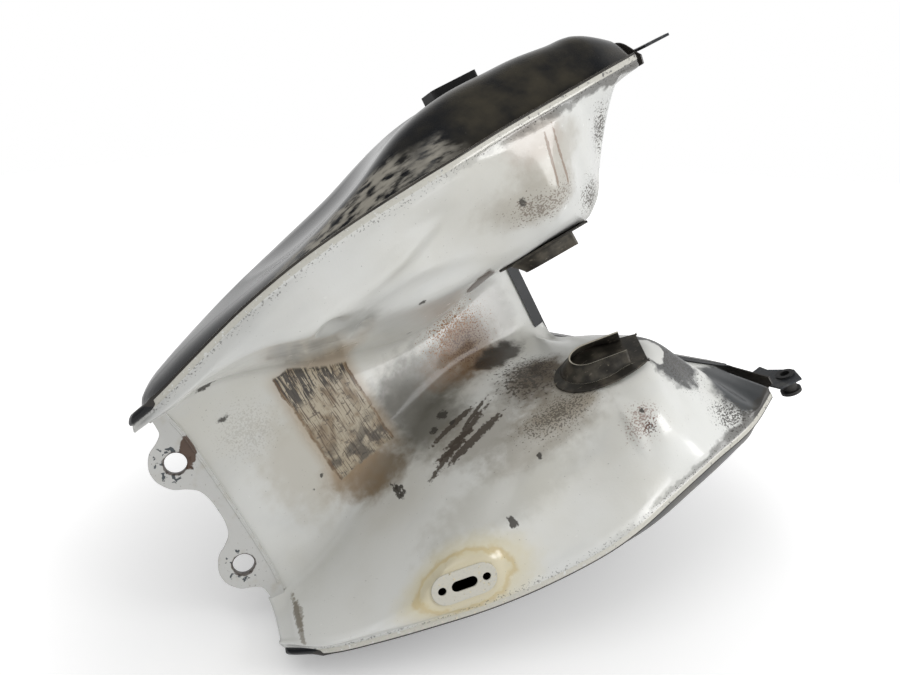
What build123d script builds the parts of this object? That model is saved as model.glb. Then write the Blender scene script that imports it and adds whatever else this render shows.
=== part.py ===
"""Steel fuel tank for a motorcycle, with its filler cap, in millimetres.

+X points forward, +Y to the rider's left, +Z up. The origin lies midway between
the two rear fixing holes, on the underside of the eared plate.
"""
import os
from math import copysign, cos, hypot, radians, sin

from build123d import *

os.makedirs("parts", exist_ok=True)

# ---- sheet and seam ---------------------------------------------------------
wall = 1.2  # pressed sheet
seam_gap = 0.4  # between sheets that are welded together, and under seated plates
flange = 6.0  # width of the underside's seam flange
skin_flange = 3.0  # width of the outer skin's
pan_corner = 0.40  # share of the shorter leg that a pressed corner takes, underside
fold_corner = 0.30  # the same at the edges of the tunnel ceiling
skin_corner = 0.50  # the same on the outer skin
corner_steps = 4
lap = 0.15  # by which the front lobes' sheet is thicker on each side than the body's
least_step = 0.4  # between neighbouring points of a section's hidden face

# ---- overall form -----------------------------------------------------------
tank_length = 482.0  # ear line to the front corners of the lip
half_width = 157.0  # seam, at its widest
crown_height = 178.0  # top of the outer skin over the ear line
belly_depth = 114.0  # lowest point of the seam under the ear line
mouth_share = 0.722  # where the tunnel ceiling ends, as a share of the length
mouth_half_width = 56.0
mouth_height = 95.0  # tunnel ceiling at its front edge
corner_out = 2.0  # of the lip's outer front corners, past the widest seam
front_corner = (half_width + corner_out, -11.0)  # y and z of those corners

# ---- rear mounting plate ----------------------------------------------------
ear_spacing = 98.0  # between the two rear fixing holes
ear_hole_radius = 8.25
ear_radius = 19.0  # round the holes
ear_plate = 3.0
ear_rim = 1.5  # wall of the rolled rim in each hole
ear_rim_height = 6.0
shelf_end = 15.0  # front edge of the plate, forward of the ear line
shelf_half_width = 79.0
notch_x = 5.5  # rear edge of the plate between its ears
notch_fillet = 6.0  # where the ears meet that edge

# ---- tank damper seats in the tunnel ----------------------------------------
seat_tip = (291.3, 55.5, -19.4)  # rear end of the left seat, on the tunnel wall
seat_run = (67.0, 5.4, -27.0)  # along the seat, downwards to the front
seat_normal = (0.0, -1.0, -0.2)  # into the tunnel
seat_length = 78.0
seat_width = 50.0
seat_plate = 2.0
seat_lift = 1.6  # of the plate off the wall's plane, over the weld dimples
rail_inset = 17.0  # from the seat's rear end to the rail's
rail_length = 48.0
rail_width = 36.0
rail_rise = 7.0  # of the rail's middle over the seat's
rail_wall = 3.0
rail_height = 11.0

# ---- lip trim, front tabs, side pads ----------------------------------------
trim_width = 11.0
trim_wall = 1.0
tab_wall = 2.0
tab_root = (-14.0, -60.0)  # upper and lower end of the tab's root, in z
tab_edge = [(5.0, -12.0), (3.0, -24.0), (11.0, -49.0), (2.0, -66.0)]  # ahead of the corner, and z
tab_hole = (1.0, -48.0)
tab_hole_radius = 6.5
bush_bore = 4.2
bush_radius = 9.0  # of the bush's collar
bush_length = 16.0  # outboard of the tab
bush_collar = 3.0
bush_lip = 1.5
pad_behind = 31.0  # of its rear end, behind the mouth
pad_length = 43.0
pad_low = 8.0
pad_high = 44.0
pad_proud = 8.2  # of its outer face, off the widest place of the skin
pad_corner = 5.0

# ---- fuel tap seat and baffle -----------------------------------------------
tap_share = 0.28112  # of the length, to the tap's middle
tap_inset = 44.5  # of the tap's middle, inside the widest seam
tap_centre = (tap_share * tank_length, half_width - tap_inset)
tap_angle = 15.0  # from straight ahead, in plan
tap_lean = 4.0  # of the seat, falling forwards
tap_pitch = 34.0
tap_screw = 6.0
tap_outlet = (19.6, 8.4)
tap_plate_size = (50.0, 24.0)
tap_plate_depth = 6.0
baffle_station = 0.40  # one of the body's stations
baffle_hole = 14.0
baffle_low_hole = (115.0, -50.0)  # out from the centre line, and height
baffle_high_hole = (105.0, 30.0)
baffle_slot = (84.0, 14.0)
baffle_slot_depth = 64.0  # of the slot's middle under the filler
baffle_gap = 0.6  # all round the baffle

# ---- filler and cap ---------------------------------------------------------
filler_x = 285.0
filler_hole = 47.0
filler_drop = 14.0  # from the crown to the floor of the filler dish
neck_radius = 29.0
neck_wall_radius = 34.0
neck_depth = 22.0
boss_wall = 2.5
boss_depth = 12.0  # of the bolt bosses, under the dish's floor
gasket = 1.5
cap_radius = 44.0
cap_height = 7.5
cap_top = gasket + cap_height
cap_bore = 28.0
lid_radius = 32.5
lid_wall = 4.0
fit = 0.1  # sliding clearance in the cap
air = 0.4  # clearance between pieces that pass each other
bolt_count = 6
bolt_ring = 38.6
bolt_size = 5.0
bolt_head = 4.2
bolt_head_height = 4.5
bolt_reach = 14.0
hinge_reach = 37.0  # from the filler's centre back to the hinge pin
hinge_width = 12.0
pin_radius = 1.5
pin_length = 22.0
knuckle = 2.2
plug_radius = 22.0
plug_depth = 7.0  # of the latch guide, under the dish's floor
seal_radius = 27.0
seal_height = 3.0
latch_low = -5.0  # underside of the latch bolt, from the dish's floor
latch_width = 8.0
latch_height = 3.0
latch_tip = 26.0  # the bolt's nose drawn back, ahead of the filler's centre
lock_radius = 7.0
lock_offset = 8.0  # ahead of the filler's centre
key_slot = (7.0, 1.4)
cover_radius = 9.5
cover_wall = 1.2
cover_pivot = 14.0  # from the lock's axis back to the cover's rivet
rivet_radius = 1.6

# Form of the seam: share of the length, of the half width and of the belly depth.
seam_form = [
    (0.012, 0.656, -0.53), (0.06, 0.700, -0.68), (0.124, 0.764, -0.745), (0.21, 0.844, -0.80),
    (0.30, 0.905, -0.88), (0.39, 0.942, -0.95), (0.49, 0.966, -1.00), (0.56, 0.976, -0.985),
    (0.64, 0.987, -0.91), (0.75, 0.994, -0.82), (0.845, 1.0, -0.745), (0.93, 1.0, -0.58),
    (0.96, 1.0, -0.49), (1.0, 1.012, -0.13),
]
# Form of the tunnel: share of the length, then y shares of the half width and z shares
# of the belly depth for the lobe's outer and inner edge, the foot of the wall and a
# point on the wall, and last the y share of the ceiling's edge.
tunnel_form = [
    (0.012, 0.600, -0.53, 0.600, -0.42, 0.590, -0.30, 0.580, -0.14, 0.550),
    (0.06, 0.640, -0.72, 0.622, -0.66, 0.610, -0.40, 0.590, -0.10, 0.568),
    (0.13, 0.690, -0.80, 0.670, -0.76, 0.615, -0.42, 0.570, -0.08, 0.540),
    (0.21, 0.770, -0.85, 0.680, -0.86, 0.575, -0.45, 0.500, -0.02, 0.435),
    (0.28, 0.820, -0.87, 0.625, -0.88, 0.535, -0.50, 0.420, 0.00, 0.320),
    (0.34, 0.850, -0.89, 0.645, -0.85, 0.510, -0.52, 0.350, 0.05, 0.255),
    (0.42, 0.880, -0.95, 0.690, -0.80, 0.475, -0.53, 0.290, 0.10, 0.180),
    (0.50, 0.900, -0.98, 0.705, -0.69, 0.445, -0.53, 0.260, 0.15, 0.160),
    (0.57, 0.910, -0.95, 0.690, -0.71, 0.425, -0.53, 0.270, 0.18, 0.190),
    (0.63, 0.915, -0.91, 0.600, -0.75, 0.402, -0.53, 0.300, 0.18, 0.235),
    (0.68, 0.920, -0.88, 0.585, -0.82, 0.402, -0.53, 0.300, 0.18, 0.262),
    (0.722, 0.920, -0.86, 0.600, -0.74, 0.402, -0.53, 0.300, 0.18, 0.357),
    (0.75, 0.920, -0.82, 0.600, -0.63, 0.400, -0.50, 0.312, 0.09, 0.0),
    (0.772, 0.920, -0.78, 0.590, -0.58, 0.395, -0.44, 0.338, -0.09, 0.0),
    (0.788, 0.920, -0.74, 0.590, -0.54, 0.430, -0.41, 0.370, -0.22, 0.0),
    (0.804, 0.925, -0.72, 0.640, -0.50, 0.480, -0.40, 0.430, -0.29, 0.0),
    (0.826, 0.930, -0.70, 0.720, -0.48, 0.610, -0.41, 0.567, -0.34, 0.0),
    (0.853, 0.940, -0.70, 0.860, -0.60, 0.760, -0.46, 0.690, -0.33, 0.0),
    (0.88, 0.950, -0.69, 0.945, -0.66, 0.915, -0.56, 0.850, -0.33, 0.0),
    (0.913, 0.942, -0.62, 0.936, -0.57, 0.920, -0.44, 0.880, -0.20, 0.0),
    (0.944, 0.942, -0.54, 0.934, -0.49, 0.926, -0.38, 0.912, -0.15, 0.0),
    (0.97, 0.944, -0.44, 0.940, -0.40, 0.938, -0.28, 0.935, -0.14, 0.0),
    (1.0, 0.972, -0.16, 0.974, -0.15, 0.980, -0.13, 0.990, -0.12, 0.0),
]
# Form of the outer skin: share of the length, then y shares of the half width and z
# shares of the crown height for five points from the low flank to the top, and last
# the height share on the centre line or, past the tunnel mouth, at the front panel.
skin_form = [
    (0.0166, 0.630, -0.25, 0.617, -0.10, 0.600, 0.020, 0.50, 0.038, 0.25, 0.039, 0.039),
    (0.03, 0.700, -0.26, 0.705, -0.10, 0.680, 0.080, 0.50, 0.105, 0.25, 0.118, 0.120),
    (0.075, 0.760, -0.28, 0.775, -0.05, 0.750, 0.170, 0.56, 0.240, 0.28, 0.275, 0.285),
    (0.15, 0.830, -0.30, 0.840, 0.00, 0.840, 0.300, 0.62, 0.450, 0.30, 0.500, 0.520),
    (0.23, 0.885, -0.34, 0.890, 0.02, 0.920, 0.420, 0.68, 0.640, 0.32, 0.710, 0.730),
    (0.33, 0.960, -0.38, 0.930, 0.03, 1.015, 0.480, 0.76, 0.770, 0.36, 0.870, 0.890),
    (0.43, 1.070, -0.42, 1.010, 0.02, 1.105, 0.480, 0.84, 0.830, 0.40, 0.950, 0.970),
    (0.53, 1.200, -0.40, 1.160, 0.02, 1.195, 0.480, 0.90, 0.840, 0.42, 0.990, 1.000),
    (0.62, 1.250, -0.38, 1.235, 0.02, 1.250, 0.480, 0.92, 0.830, 0.44, 0.990, 1.000),
    (0.722, 1.255, -0.34, 1.248, 0.02, 1.250, 0.440, 0.94, 0.770, 0.55, 0.950, 0.960),
    (0.77, 1.255, -0.32, 1.245, 0.02, 1.240, 0.400, 1.00, 0.690, 0.70, 0.850, 0.890),
    (0.83, 1.240, -0.30, 1.225, 0.00, 1.205, 0.300, 1.05, 0.540, 0.86, 0.670, 0.720),
    (0.88, 1.225, -0.28, 1.215, -0.02, 1.180, 0.200, 1.06, 0.380, 0.94, 0.480, 0.520),
    (0.94, 1.130, -0.22, 1.120, -0.05, 1.100, 0.080, 1.04, 0.180, 0.98, 0.240, 0.280),
    (1.0, 1.025, -0.08, 1.022, -0.05, 1.020, -0.02, 1.018, 0.00, 1.015, 0.010, 0.015),
]
rear_station = 0.0166
front_end = 0.96  # where the skins end
body_stations = [0.04, 0.075, 0.12, 0.17, 0.22, 0.28, 0.34, 0.40, 0.46, 0.52, 0.58, 0.64, 0.68]
front_stations = [0.75, 0.772, 0.788, 0.804, 0.826, 0.853, 0.88, 0.913, 0.944]


def law(share, rows, column):
    """One column of a form table at a share of the length, on a smooth curve."""
    k = max([0] + [i for i in range(len(rows) - 1) if rows[i][0] <= share])
    x0, x1 = rows[k][0], rows[k + 1][0]
    v0, v1 = rows[k][column], rows[k + 1][column]
    before = rows[max(k - 1, 0)]
    after = rows[min(k + 2, len(rows) - 1)]
    slope0 = (v1 - before[column]) / (x1 - before[0])
    slope1 = (after[column] - v0) / (after[0] - x0)
    t = (share - x0) / (x1 - x0)
    ease = 3 * t**2 - 2 * t**3
    bend = slope0 * (t**3 - 2 * t**2 + t) + slope1 * (t**3 - t**2)
    return v0 * (1 - ease) + v1 * ease + bend * (x1 - x0)


def seam_point(share):
    """Outer edge of the seam flange, as (y, z)."""
    return half_width * law(share, seam_form, 1), belly_depth * law(share, seam_form, 2)


def lip_point(share):
    """The lip around the front of the tunnel, as (y, z)."""
    t = (share - mouth_share) / (1 - mouth_share)
    y = mouth_half_width + (front_corner[0] - mouth_half_width) * t
    z = mouth_height + (front_corner[1] - mouth_height) * t
    return y, z


def ceiling_height(share):
    """Height of the tunnel ceiling on the centre line."""
    start = shelf_end / tank_length
    shelf = ear_plate + seam_gap
    return shelf + (mouth_height - shelf) * max(0.0, share - start) / (mouth_share - start)


def rounded(corners, share, last_share):
    """A polyline with its corners turned into parabolas, as an even list of points."""
    points = [corners[0]]
    for a, b, c in zip(corners, corners[1:], corners[2:]):
        taken = last_share if c is corners[-1] else share
        reach = taken * min(hypot(a[0] - b[0], a[1] - b[1]), hypot(c[0] - b[0], c[1] - b[1]))
        into = hypot(a[0] - b[0], a[1] - b[1])
        out = hypot(c[0] - b[0], c[1] - b[1])
        p = (b[0] + (a[0] - b[0]) * reach / into, b[1] + (a[1] - b[1]) * reach / into)
        q = (b[0] + (c[0] - b[0]) * reach / out, b[1] + (c[1] - b[1]) * reach / out)
        for i in range(corner_steps + 1):
            t = i / corner_steps
            y = p[0] * (1 - t) ** 2 + 2 * b[0] * t * (1 - t) + q[0] * t**2
            z = p[1] * (1 - t) ** 2 + 2 * b[1] * t * (1 - t) + q[1] * t**2
            if hypot(y - points[-1][0], z - points[-1][1]) > 0.05:
                points.append((y, z))
    points.append(corners[-1])
    return points


def pan_half(share, whole):
    """Visible face of the underside at one station, from the flange root inwards."""
    seam_y, seam_z = seam_point(share)
    corners = [(seam_y - flange, seam_z)]
    for column in (1, 3, 5, 7):
        y = half_width * law(share, tunnel_form, column)
        corners.append((y, belly_depth * law(share, tunnel_form, column + 1)))
    if whole:
        height = ceiling_height(share)
        corners.append((half_width * law(share, tunnel_form, 9), height))
        corners.append((0.0, height))
    else:
        corners.append(lip_point(share))
    return corners


def skin_half(share, whole):
    """Outer face of the top skin at one station, from the flange root upwards."""
    seam_y, seam_z = seam_point(share)
    corners = [(seam_y - skin_flange, seam_z + 2 * wall + seam_gap)]
    for column in (1, 3, 5, 7, 9):
        y = half_width * law(share, skin_form, column)
        corners.append((y, crown_height * law(share, skin_form, column + 1)))
    inner_y = 0.0 if whole else lip_point(share)[0]
    corners.append((inner_y, crown_height * law(share, skin_form, 11)))
    return corners


def offset_points(points, amount):
    """Points moved sideways by an amount, to the left of the way they run, less folds."""
    moved = []
    for i, point in enumerate(points):
        a = points[max(i - 1, 0)]
        b = points[min(i + 1, len(points) - 1)]
        run = hypot(b[0] - a[0], b[1] - a[1])
        way = ((b[0] - a[0]) / run, (b[1] - a[1]) / run)
        new = (point[0] - way[1] * amount, point[1] + way[0] * amount)
        if not moved or (new[0] - moved[-1][0]) * way[0] + (new[1] - moved[-1][1]) * way[1] > least_step:
            moved.append(new)
    return moved


def across(half_points):
    """A half section, flange root first, mirrored into a whole one from left to right."""
    mirrored = [(-y, z) for y, z in half_points]
    return half_points + mirrored[-2::-1]


def face_curve(share, half, corner, side):
    """Points of one face at a station: the whole section, or one side past the mouth."""
    fold = fold_corner if half is pan_half and side == 0 else corner
    points = rounded(half(share, side == 0), corner, fold)
    if side == 0:
        return across(points)
    return points if side >= 0 else [(-y, z) for y, z in points]


# ---- pieces -----------------------------------------------------------------
def sheet_section(share, side, half, corner, inside, flange_low):
    """Sketch of the pressed sheet at one station, with its seam flange.

    side is 0 for the whole width and 1 or -1 for one lobe. inside is the offset from
    the visible face to the hidden one, and flange_low the flange's underside over the
    seam line.
    """
    seam_y, seam_z = seam_point(share)
    low = seam_z + flange_low
    levels = (low, low + wall) if half is pan_half else (low + wall, low)
    face = face_curve(share, half, corner, side)
    turn = copysign(1, inside) * (1 if side >= 0 else -1)
    back = offset_points(face, turn * (wall + (0 if side == 0 else lap)))
    if side != 0:
        face = offset_points(face, -turn * lap)
    ends = (0, -1) if side == 0 else (0,)
    roots = {end: (back[end][0], levels[1]) for end in ends}
    if half is pan_half:
        for end in ends:
            back[end] = roots[end]
    elif side != 0:
        back[-1] = (face[-1][0], back[-1][1])
    with BuildSketch(Plane.YZ.offset(share * tank_length)) as section:
        with BuildLine():
            Spline(*face)
            Spline(*back)
            for end in ends:
                tip = copysign(seam_y, face[end][0])
                Polyline(face[end], (tip, levels[0]), (tip, levels[1]), roots[end])
                if half is skin_half:
                    Line(roots[end], back[end])
            if side != 0:
                Line(face[-1], back[-1])
        make_face()
    return section.sketch


def stations(side):
    """Shares of the length at which a sheet is set out."""
    if side == 0:
        return [rear_station] + body_stations + [mouth_share]
    return [mouth_share] + front_stations + [front_end]


def sheet(half, corner, inside, flange_low):
    """A pressed sheet: its body as far as the tunnel mouth, and its two front lobes."""
    with BuildPart() as piece:
        for side in (0, 1, -1):
            for share in stations(side):
                add(sheet_section(share, side, half, corner, inside, flange_low))
            loft(ruled=True)
    return piece


def space_section(share, gap):
    """Sketch across the tank of the space between the two sheets, with a gap to both."""
    low = offset_points(face_curve(share, pan_half, pan_corner, 0), -wall - gap)
    high = offset_points(face_curve(share, skin_half, skin_corner, 0), wall + gap)
    with BuildSketch(Plane.YZ.offset(share * tank_length)) as section:
        with BuildLine():
            Spline(*low)
            Spline(*high)
            Line(low[0], high[0])
            Line(low[-1], high[-1])
        make_face()
    return section.sketch


def crown_at(x):
    """Height of the outer skin on the centre line."""
    return crown_height * law(x / tank_length, skin_form, 11)


def write(piece, name):
    """Label a finished piece and write it out."""
    piece.part.label = name
    export_step(piece.part, "parts/" + name + ".step")


def build_sheets():
    """The underside with its tunnel, and the outer skin with the filler's hole."""
    pan = sheet(pan_half, pan_corner, -wall, 0.0)
    tap = tap_plane()
    with BuildPart() as inner_pan:
        add(pan.part)
        with BuildSketch(tap):
            tap_holes()
        extrude(amount=2 * tap_plate_depth, both=True, mode=Mode.SUBTRACT)
    write(inner_pan, "inner_pan")
    skin = sheet(skin_half, skin_corner, wall, wall + seam_gap)
    with BuildPart() as outer_shell:
        add(skin.part)
        with BuildSketch(Plane.XY.offset(crown_height / 2)):
            with Locations((filler_x, 0)):
                Circle(filler_hole)
        extrude(amount=crown_height, mode=Mode.SUBTRACT)
    write(outer_shell, "outer_shell")


def underside_height(share, y):
    """Height of the underside's visible face at a station, y out from the centre line."""
    face = rounded(pan_half(share, True), pan_corner, fold_corner)
    pair = next((a, b) for a, b in zip(face, face[1:]) if b[0] <= y <= a[0])
    (y0, z0), (y1, z1) = pair
    return z0 + (z1 - z0) * (y - y0) / (y1 - y0)


def tap_plane():
    """Plane of the fuel tap's seat under the left lobe, its normal pointing down."""
    lobe_z = underside_height(tap_centre[0] / tank_length, tap_centre[1])
    lean = radians(tap_lean)
    turn = radians(tap_angle)
    run = (cos(lean) * cos(turn), cos(lean) * sin(turn), -sin(lean) * cos(turn))
    normal = (-sin(lean), 0, -cos(lean))
    return Plane(origin=(tap_centre[0], tap_centre[1], lobe_z), x_dir=run, z_dir=normal)


def tap_holes():
    """Outlet and screw holes of the fuel tap's seat, in the current sketch."""
    SlotOverall(*tap_outlet)
    with GridLocations(tap_pitch, 1, 2, 1):
        Circle(tap_screw / 2 + fit)


def build_front_panel():
    """Front wall of the tank: across the mouth, along both lips and over the horns."""
    mouth_x = mouth_share * tank_length
    end_x = front_end * tank_length
    lip_end = lip_point(front_end)
    run = hypot(end_x - mouth_x, lip_end[0] - mouth_half_width)
    rows = [mouth_share] + front_stations + [front_end]
    overrun = 2 * wall
    low = [(0.0, mouth_height), (run, lip_end[1]), (run + overrun, lip_end[1])]
    high = []
    for share in rows:
        along = run * (share - mouth_share) / (front_end - mouth_share)
        high.append((along, crown_height * law(share, skin_form, 11)))
    ahead = ((end_x - mouth_x) / run, (lip_end[0] - mouth_half_width) / run, 0)
    face = Plane(origin=(mouth_x, mouth_half_width, 0), x_dir=ahead, z_dir=(ahead[1], -ahead[0], 0))
    top = crown_height * law(mouth_share, skin_form, 11)
    with BuildPart() as front_panel:
        with BuildSketch(face.offset(seam_gap + lap)):
            with BuildLine():
                Polyline(high[0], *low, (run + overrun, high[-1][1]), high[-1])
                Spline(*high)
            make_face()
        extrude(amount=wall)
        mirror(about=Plane.XZ)
        with BuildSketch(Plane.YZ.offset(mouth_x + seam_gap)):
            with Locations((0, (top + mouth_height) / 2)):
                Rectangle(2 * mouth_half_width + wall, top - mouth_height)
        extrude(amount=wall)
        roof = face_curve(front_end, skin_half, skin_corner, 1)
        horn = [p for p in face_curve(front_end, pan_half, pan_corner, 1) if p[1] > roof[0][1] + wall]
        for turn in (1, -1):
            with BuildSketch(Plane.YZ.offset(end_x + seam_gap)):
                with BuildLine():
                    Spline(*[(turn * y, z) for y, z in horn])
                    Spline(*[(turn * y, z) for y, z in roof])
                    Line((turn * horn[0][0], horn[0][1]), (turn * roof[0][0], roof[0][1]))
                    Line((turn * horn[-1][0], horn[-1][1]), (turn * roof[-1][0], roof[-1][1]))
                make_face()
            extrude(amount=wall)
    write(front_panel, "front_panel")


def build_ear_plate():
    """Plate with the two rear fixing ears, each hole with a rolled rim."""
    ear_y = ear_spacing / 2
    with BuildPart() as plate:
        with BuildSketch():
            with Locations((notch_x, 0)):
                Rectangle(shelf_end - notch_x, 2 * shelf_half_width, align=(Align.MIN, Align.CENTER))
            with Locations((0, -ear_y), (0, ear_y)):
                Circle(ear_radius)
                Rectangle(shelf_end, 2 * ear_radius, align=(Align.MIN, Align.CENTER))
        extrude(amount=ear_plate)
        inner = plate.edges().filter_by(Axis.Z).filter_by_position(Axis.X, notch_x - fit, notch_x + fit)
        fillet([e for e in inner if abs(e.center().Y) < shelf_half_width - ear_rim], notch_fillet)
        with BuildSketch():
            with Locations((0, -ear_y), (0, ear_y)):
                Circle(ear_hole_radius + ear_rim)
        extrude(amount=ear_rim_height)
        with BuildSketch():
            with Locations((0, -ear_y), (0, ear_y)):
                Circle(ear_hole_radius)
        extrude(amount=ear_rim_height, mode=Mode.SUBTRACT)
        with BuildSketch(Plane.XY.offset(ear_plate)):
            with Locations((rear_station * tank_length - seam_gap - wall, 0)):
                Rectangle(shelf_end, 2 * half_width, align=(Align.MIN, Align.CENTER))
        extrude(amount=ear_rim_height, mode=Mode.SUBTRACT)
    write(plate, "rear_mount_plate")


def build_damper_seats():
    """Horseshoe seats for the rubber dampers, on both walls of the tunnel."""
    seat_radius = seat_width / 2
    rail_radius = rail_width / 2
    rail_end = rail_inset + rail_length
    base = Plane(origin=seat_tip, x_dir=seat_run, z_dir=seat_normal).offset(seat_lift)
    for turn, side in ((1, "left"), (-1, "right")):
        with BuildPart() as seat:
            with BuildSketch(base):
                with Locations((seat_radius, 0)):
                    Circle(seat_radius)
                    Rectangle(seat_length - seat_radius, seat_width, align=(Align.MIN, Align.CENTER))
            extrude(amount=seat_plate)
        with BuildPart() as rail:
            with BuildSketch(base.offset(seat_plate)):
                with Locations((rail_inset + rail_radius, rail_rise)):
                    Circle(rail_radius)
                    Rectangle(rail_length - rail_radius, rail_width, align=(Align.MIN, Align.CENTER))
                with Locations((rail_inset + rail_radius, rail_rise)):
                    Circle(rail_radius - rail_wall, mode=Mode.SUBTRACT)
                    Rectangle(rail_end, rail_width - 2 * rail_wall,
                              align=(Align.MIN, Align.CENTER), mode=Mode.SUBTRACT)
            extrude(amount=rail_height)
        for piece, name in ((seat, "damper_seat_"), (rail, "damper_rail_")):
            with BuildPart() as placed:
                add(piece.part if turn == 1 else piece.part.mirror(Plane.XZ))
            write(placed, name + side)


def trim_section(share, turn):
    """Sketch of the trim at one station of the left or right front edge."""
    face = [(turn * y, z) for y, z in face_curve(share, pan_half, pan_corner, 1)]
    tip, back = face[-1], face[-2]
    run = hypot(tip[0] - back[0], tip[1] - back[1])
    way = ((back[0] - tip[0]) / run, (back[1] - tip[1]) / run)
    out = (turn * way[1], -turn * way[0])
    corners = []
    for along, away in ((0, 1), (1, 1), (1, 0), (0, 0)):
        reach = min(trim_width, 0.9 * run) * along
        lift = 2 * seam_gap + away * trim_wall
        corners.append((tip[0] + way[0] * reach + out[0] * lift, tip[1] + way[1] * reach + out[1] * lift))
    with BuildSketch(Plane.YZ.offset(share * tank_length)) as section:
        with BuildLine():
            Polyline(*corners, close=True)
        make_face()
    return section.sketch


def build_lip_trim():
    """Dark strip under the lip: across the tunnel mouth and down both front edges."""
    for turn, side in ((1, "left"), (-1, "right")):
        with BuildPart() as trim:
            for share in stations(1):
                add(trim_section(share, turn))
            loft(ruled=True)
        write(trim, "lip_trim_" + side)
    fold = fold_corner * mouth_half_width + wall
    mouth_x = mouth_share * tank_length
    slope = (mouth_height - ceiling_height(body_stations[-1])) / (mouth_x - body_stations[-1] * tank_length)
    with BuildPart() as trim:
        with BuildSketch(Plane.XZ.offset(fold - mouth_half_width)):
            with BuildLine():
                low = mouth_height - 3 * seam_gap
                Polyline((mouth_x, low), (mouth_x, low - trim_wall),
                         (mouth_x - trim_width, low - trim_wall - slope * trim_width),
                         (mouth_x - trim_width, low - slope * trim_width), close=True)
            make_face()
        extrude(amount=2 * (mouth_half_width - fold))
    write(trim, "lip_trim_middle")


def build_front_tabs():
    """Fixing tab at each front corner, and the collared bush in the left one."""
    start = front_end * tank_length + 2 * seam_gap + wall
    edge = [(tank_length + x, z) for x, z in tab_edge]
    hole = (tank_length + tab_hole[0], tab_hole[1])
    for turn, side in ((1, "left"), (-1, "right")):
        with BuildPart() as tab:
            with BuildSketch(tab_plane(turn, 0.0)):
                with BuildLine():
                    outline = [(start, tab_root[1]), (start, tab_root[0])] + edge
                    Polyline(*[(x, -turn * z) for x, z in outline], close=True)
                make_face()
                with Locations((hole[0], -turn * hole[1])):
                    Circle(tab_hole_radius, mode=Mode.SUBTRACT)
            extrude(amount=tab_wall)
        write(tab, "front_tab_" + side)
    with BuildPart() as bush:
        levels = [(-bush_lip - fit, tab_hole_radius + bush_lip, bush_lip),
                  (-fit, tab_hole_radius - fit, tab_wall + bush_length),
                  (tab_wall + bush_length - bush_collar, bush_radius, bush_collar)]
        for lift, radius, height in levels:
            with BuildSketch(tab_plane(1, lift)) as face:
                with Locations((hole[0], -hole[1])):
                    Circle(radius)
                    Circle(bush_bore, mode=Mode.SUBTRACT)
            extrude(face.sketch, amount=height)
    write(bush, "tab_bush_left")


def tab_plane(turn, lift):
    """Plane on a front tab's inner face, or outboard of it, its normal outwards."""
    y = turn * (half_width + seam_gap + lift)
    return Plane(origin=(0, y, 0), x_dir=(1, 0, 0), z_dir=(0, turn, 0))


def build_side_pads():
    """Rubber pad on each flank, following the skin."""
    with BuildPart() as body:
        for share in body_stations[-2:] + [mouth_share] + front_stations[:3]:
            face = offset_points(face_curve(share, skin_half, skin_corner, 0), -seam_gap)
            with BuildSketch(Plane.YZ.offset(share * tank_length)):
                with BuildLine():
                    Spline(*face)
                    Line(face[0], face[-1])
                make_face()
        loft(ruled=True)
    pad_reach = max(y for y, z in face_curve(mouth_share, skin_half, skin_corner, 0)) + pad_proud
    pad_x = mouth_share * tank_length - pad_behind + pad_length / 2
    for turn, side in ((1, "left"), (-1, "right")):
        with BuildPart() as pad:
            with BuildSketch(Plane.XZ.offset(-turn * pad_reach)):
                with Locations((pad_x, (pad_low + pad_high) / 2)):
                    RectangleRounded(pad_length, pad_high - pad_low, pad_corner)
            extrude(amount=turn * (pad_reach - half_width))
            add(body.part, mode=Mode.SUBTRACT)
        write(pad, "side_pad_" + side)


def build_tap_plate():
    """Plate inside the left lobe that the fuel tap's screws thread into."""
    with BuildPart() as space:
        for share in body_stations[4:7]:
            add(space_section(share, 2 * seam_gap))
        loft(ruled=True)
    with BuildPart() as tap_plate:
        with BuildSketch(tap_plane().offset(-tap_plate_depth)):
            RectangleRounded(*tap_plate_size, pad_corner)
        extrude(amount=3 * tap_plate_depth)
        with BuildSketch(tap_plane()):
            tap_holes()
        extrude(amount=3 * tap_plate_depth, both=True, mode=Mode.SUBTRACT)
        add(space.part, mode=Mode.INTERSECT)
    write(tap_plate, "tap_plate")


def build_baffle():
    """Slosh baffle across the tank, with holes for the fuel."""
    with BuildPart() as baffle:
        extrude(space_section(baffle_station, baffle_gap), amount=wall / 2, both=True)
        with BuildSketch(Plane.YZ.offset(baffle_station * tank_length)):
            for y, z in (baffle_low_hole, baffle_high_hole):
                with Locations((-y, z), (y, z)):
                    Circle(baffle_hole)
            with Locations((0, crown_at(filler_x) - baffle_slot_depth)):
                SlotOverall(*baffle_slot)
        extrude(amount=wall, both=True, mode=Mode.SUBTRACT)
    write(baffle, "slosh_baffle")


def cap_plane(lift):
    """Level plane over the filler's centre, by its height over the dish's floor."""
    return Plane.XY.offset(crown_at(filler_x) - filler_drop + lift).move(Location((filler_x, 0, 0)))


def ring_body(lift, outer, inner, height):
    """A plain ring in the current part, from a height over the dish's floor upwards."""
    with BuildSketch(cap_plane(lift)) as face:
        Circle(outer)
        Circle(inner, mode=Mode.SUBTRACT)
    extrude(face.sketch, amount=height)


def bolt_pillars(lift, radius, height, mode):
    """A pillar on each cap bolt's axis, in the current part."""
    with BuildSketch(cap_plane(lift)) as face:
        with PolarLocations(bolt_ring, bolt_count, start_angle=180 / bolt_count):
            Circle(radius)
    extrude(face.sketch, amount=height, mode=mode)


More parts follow.
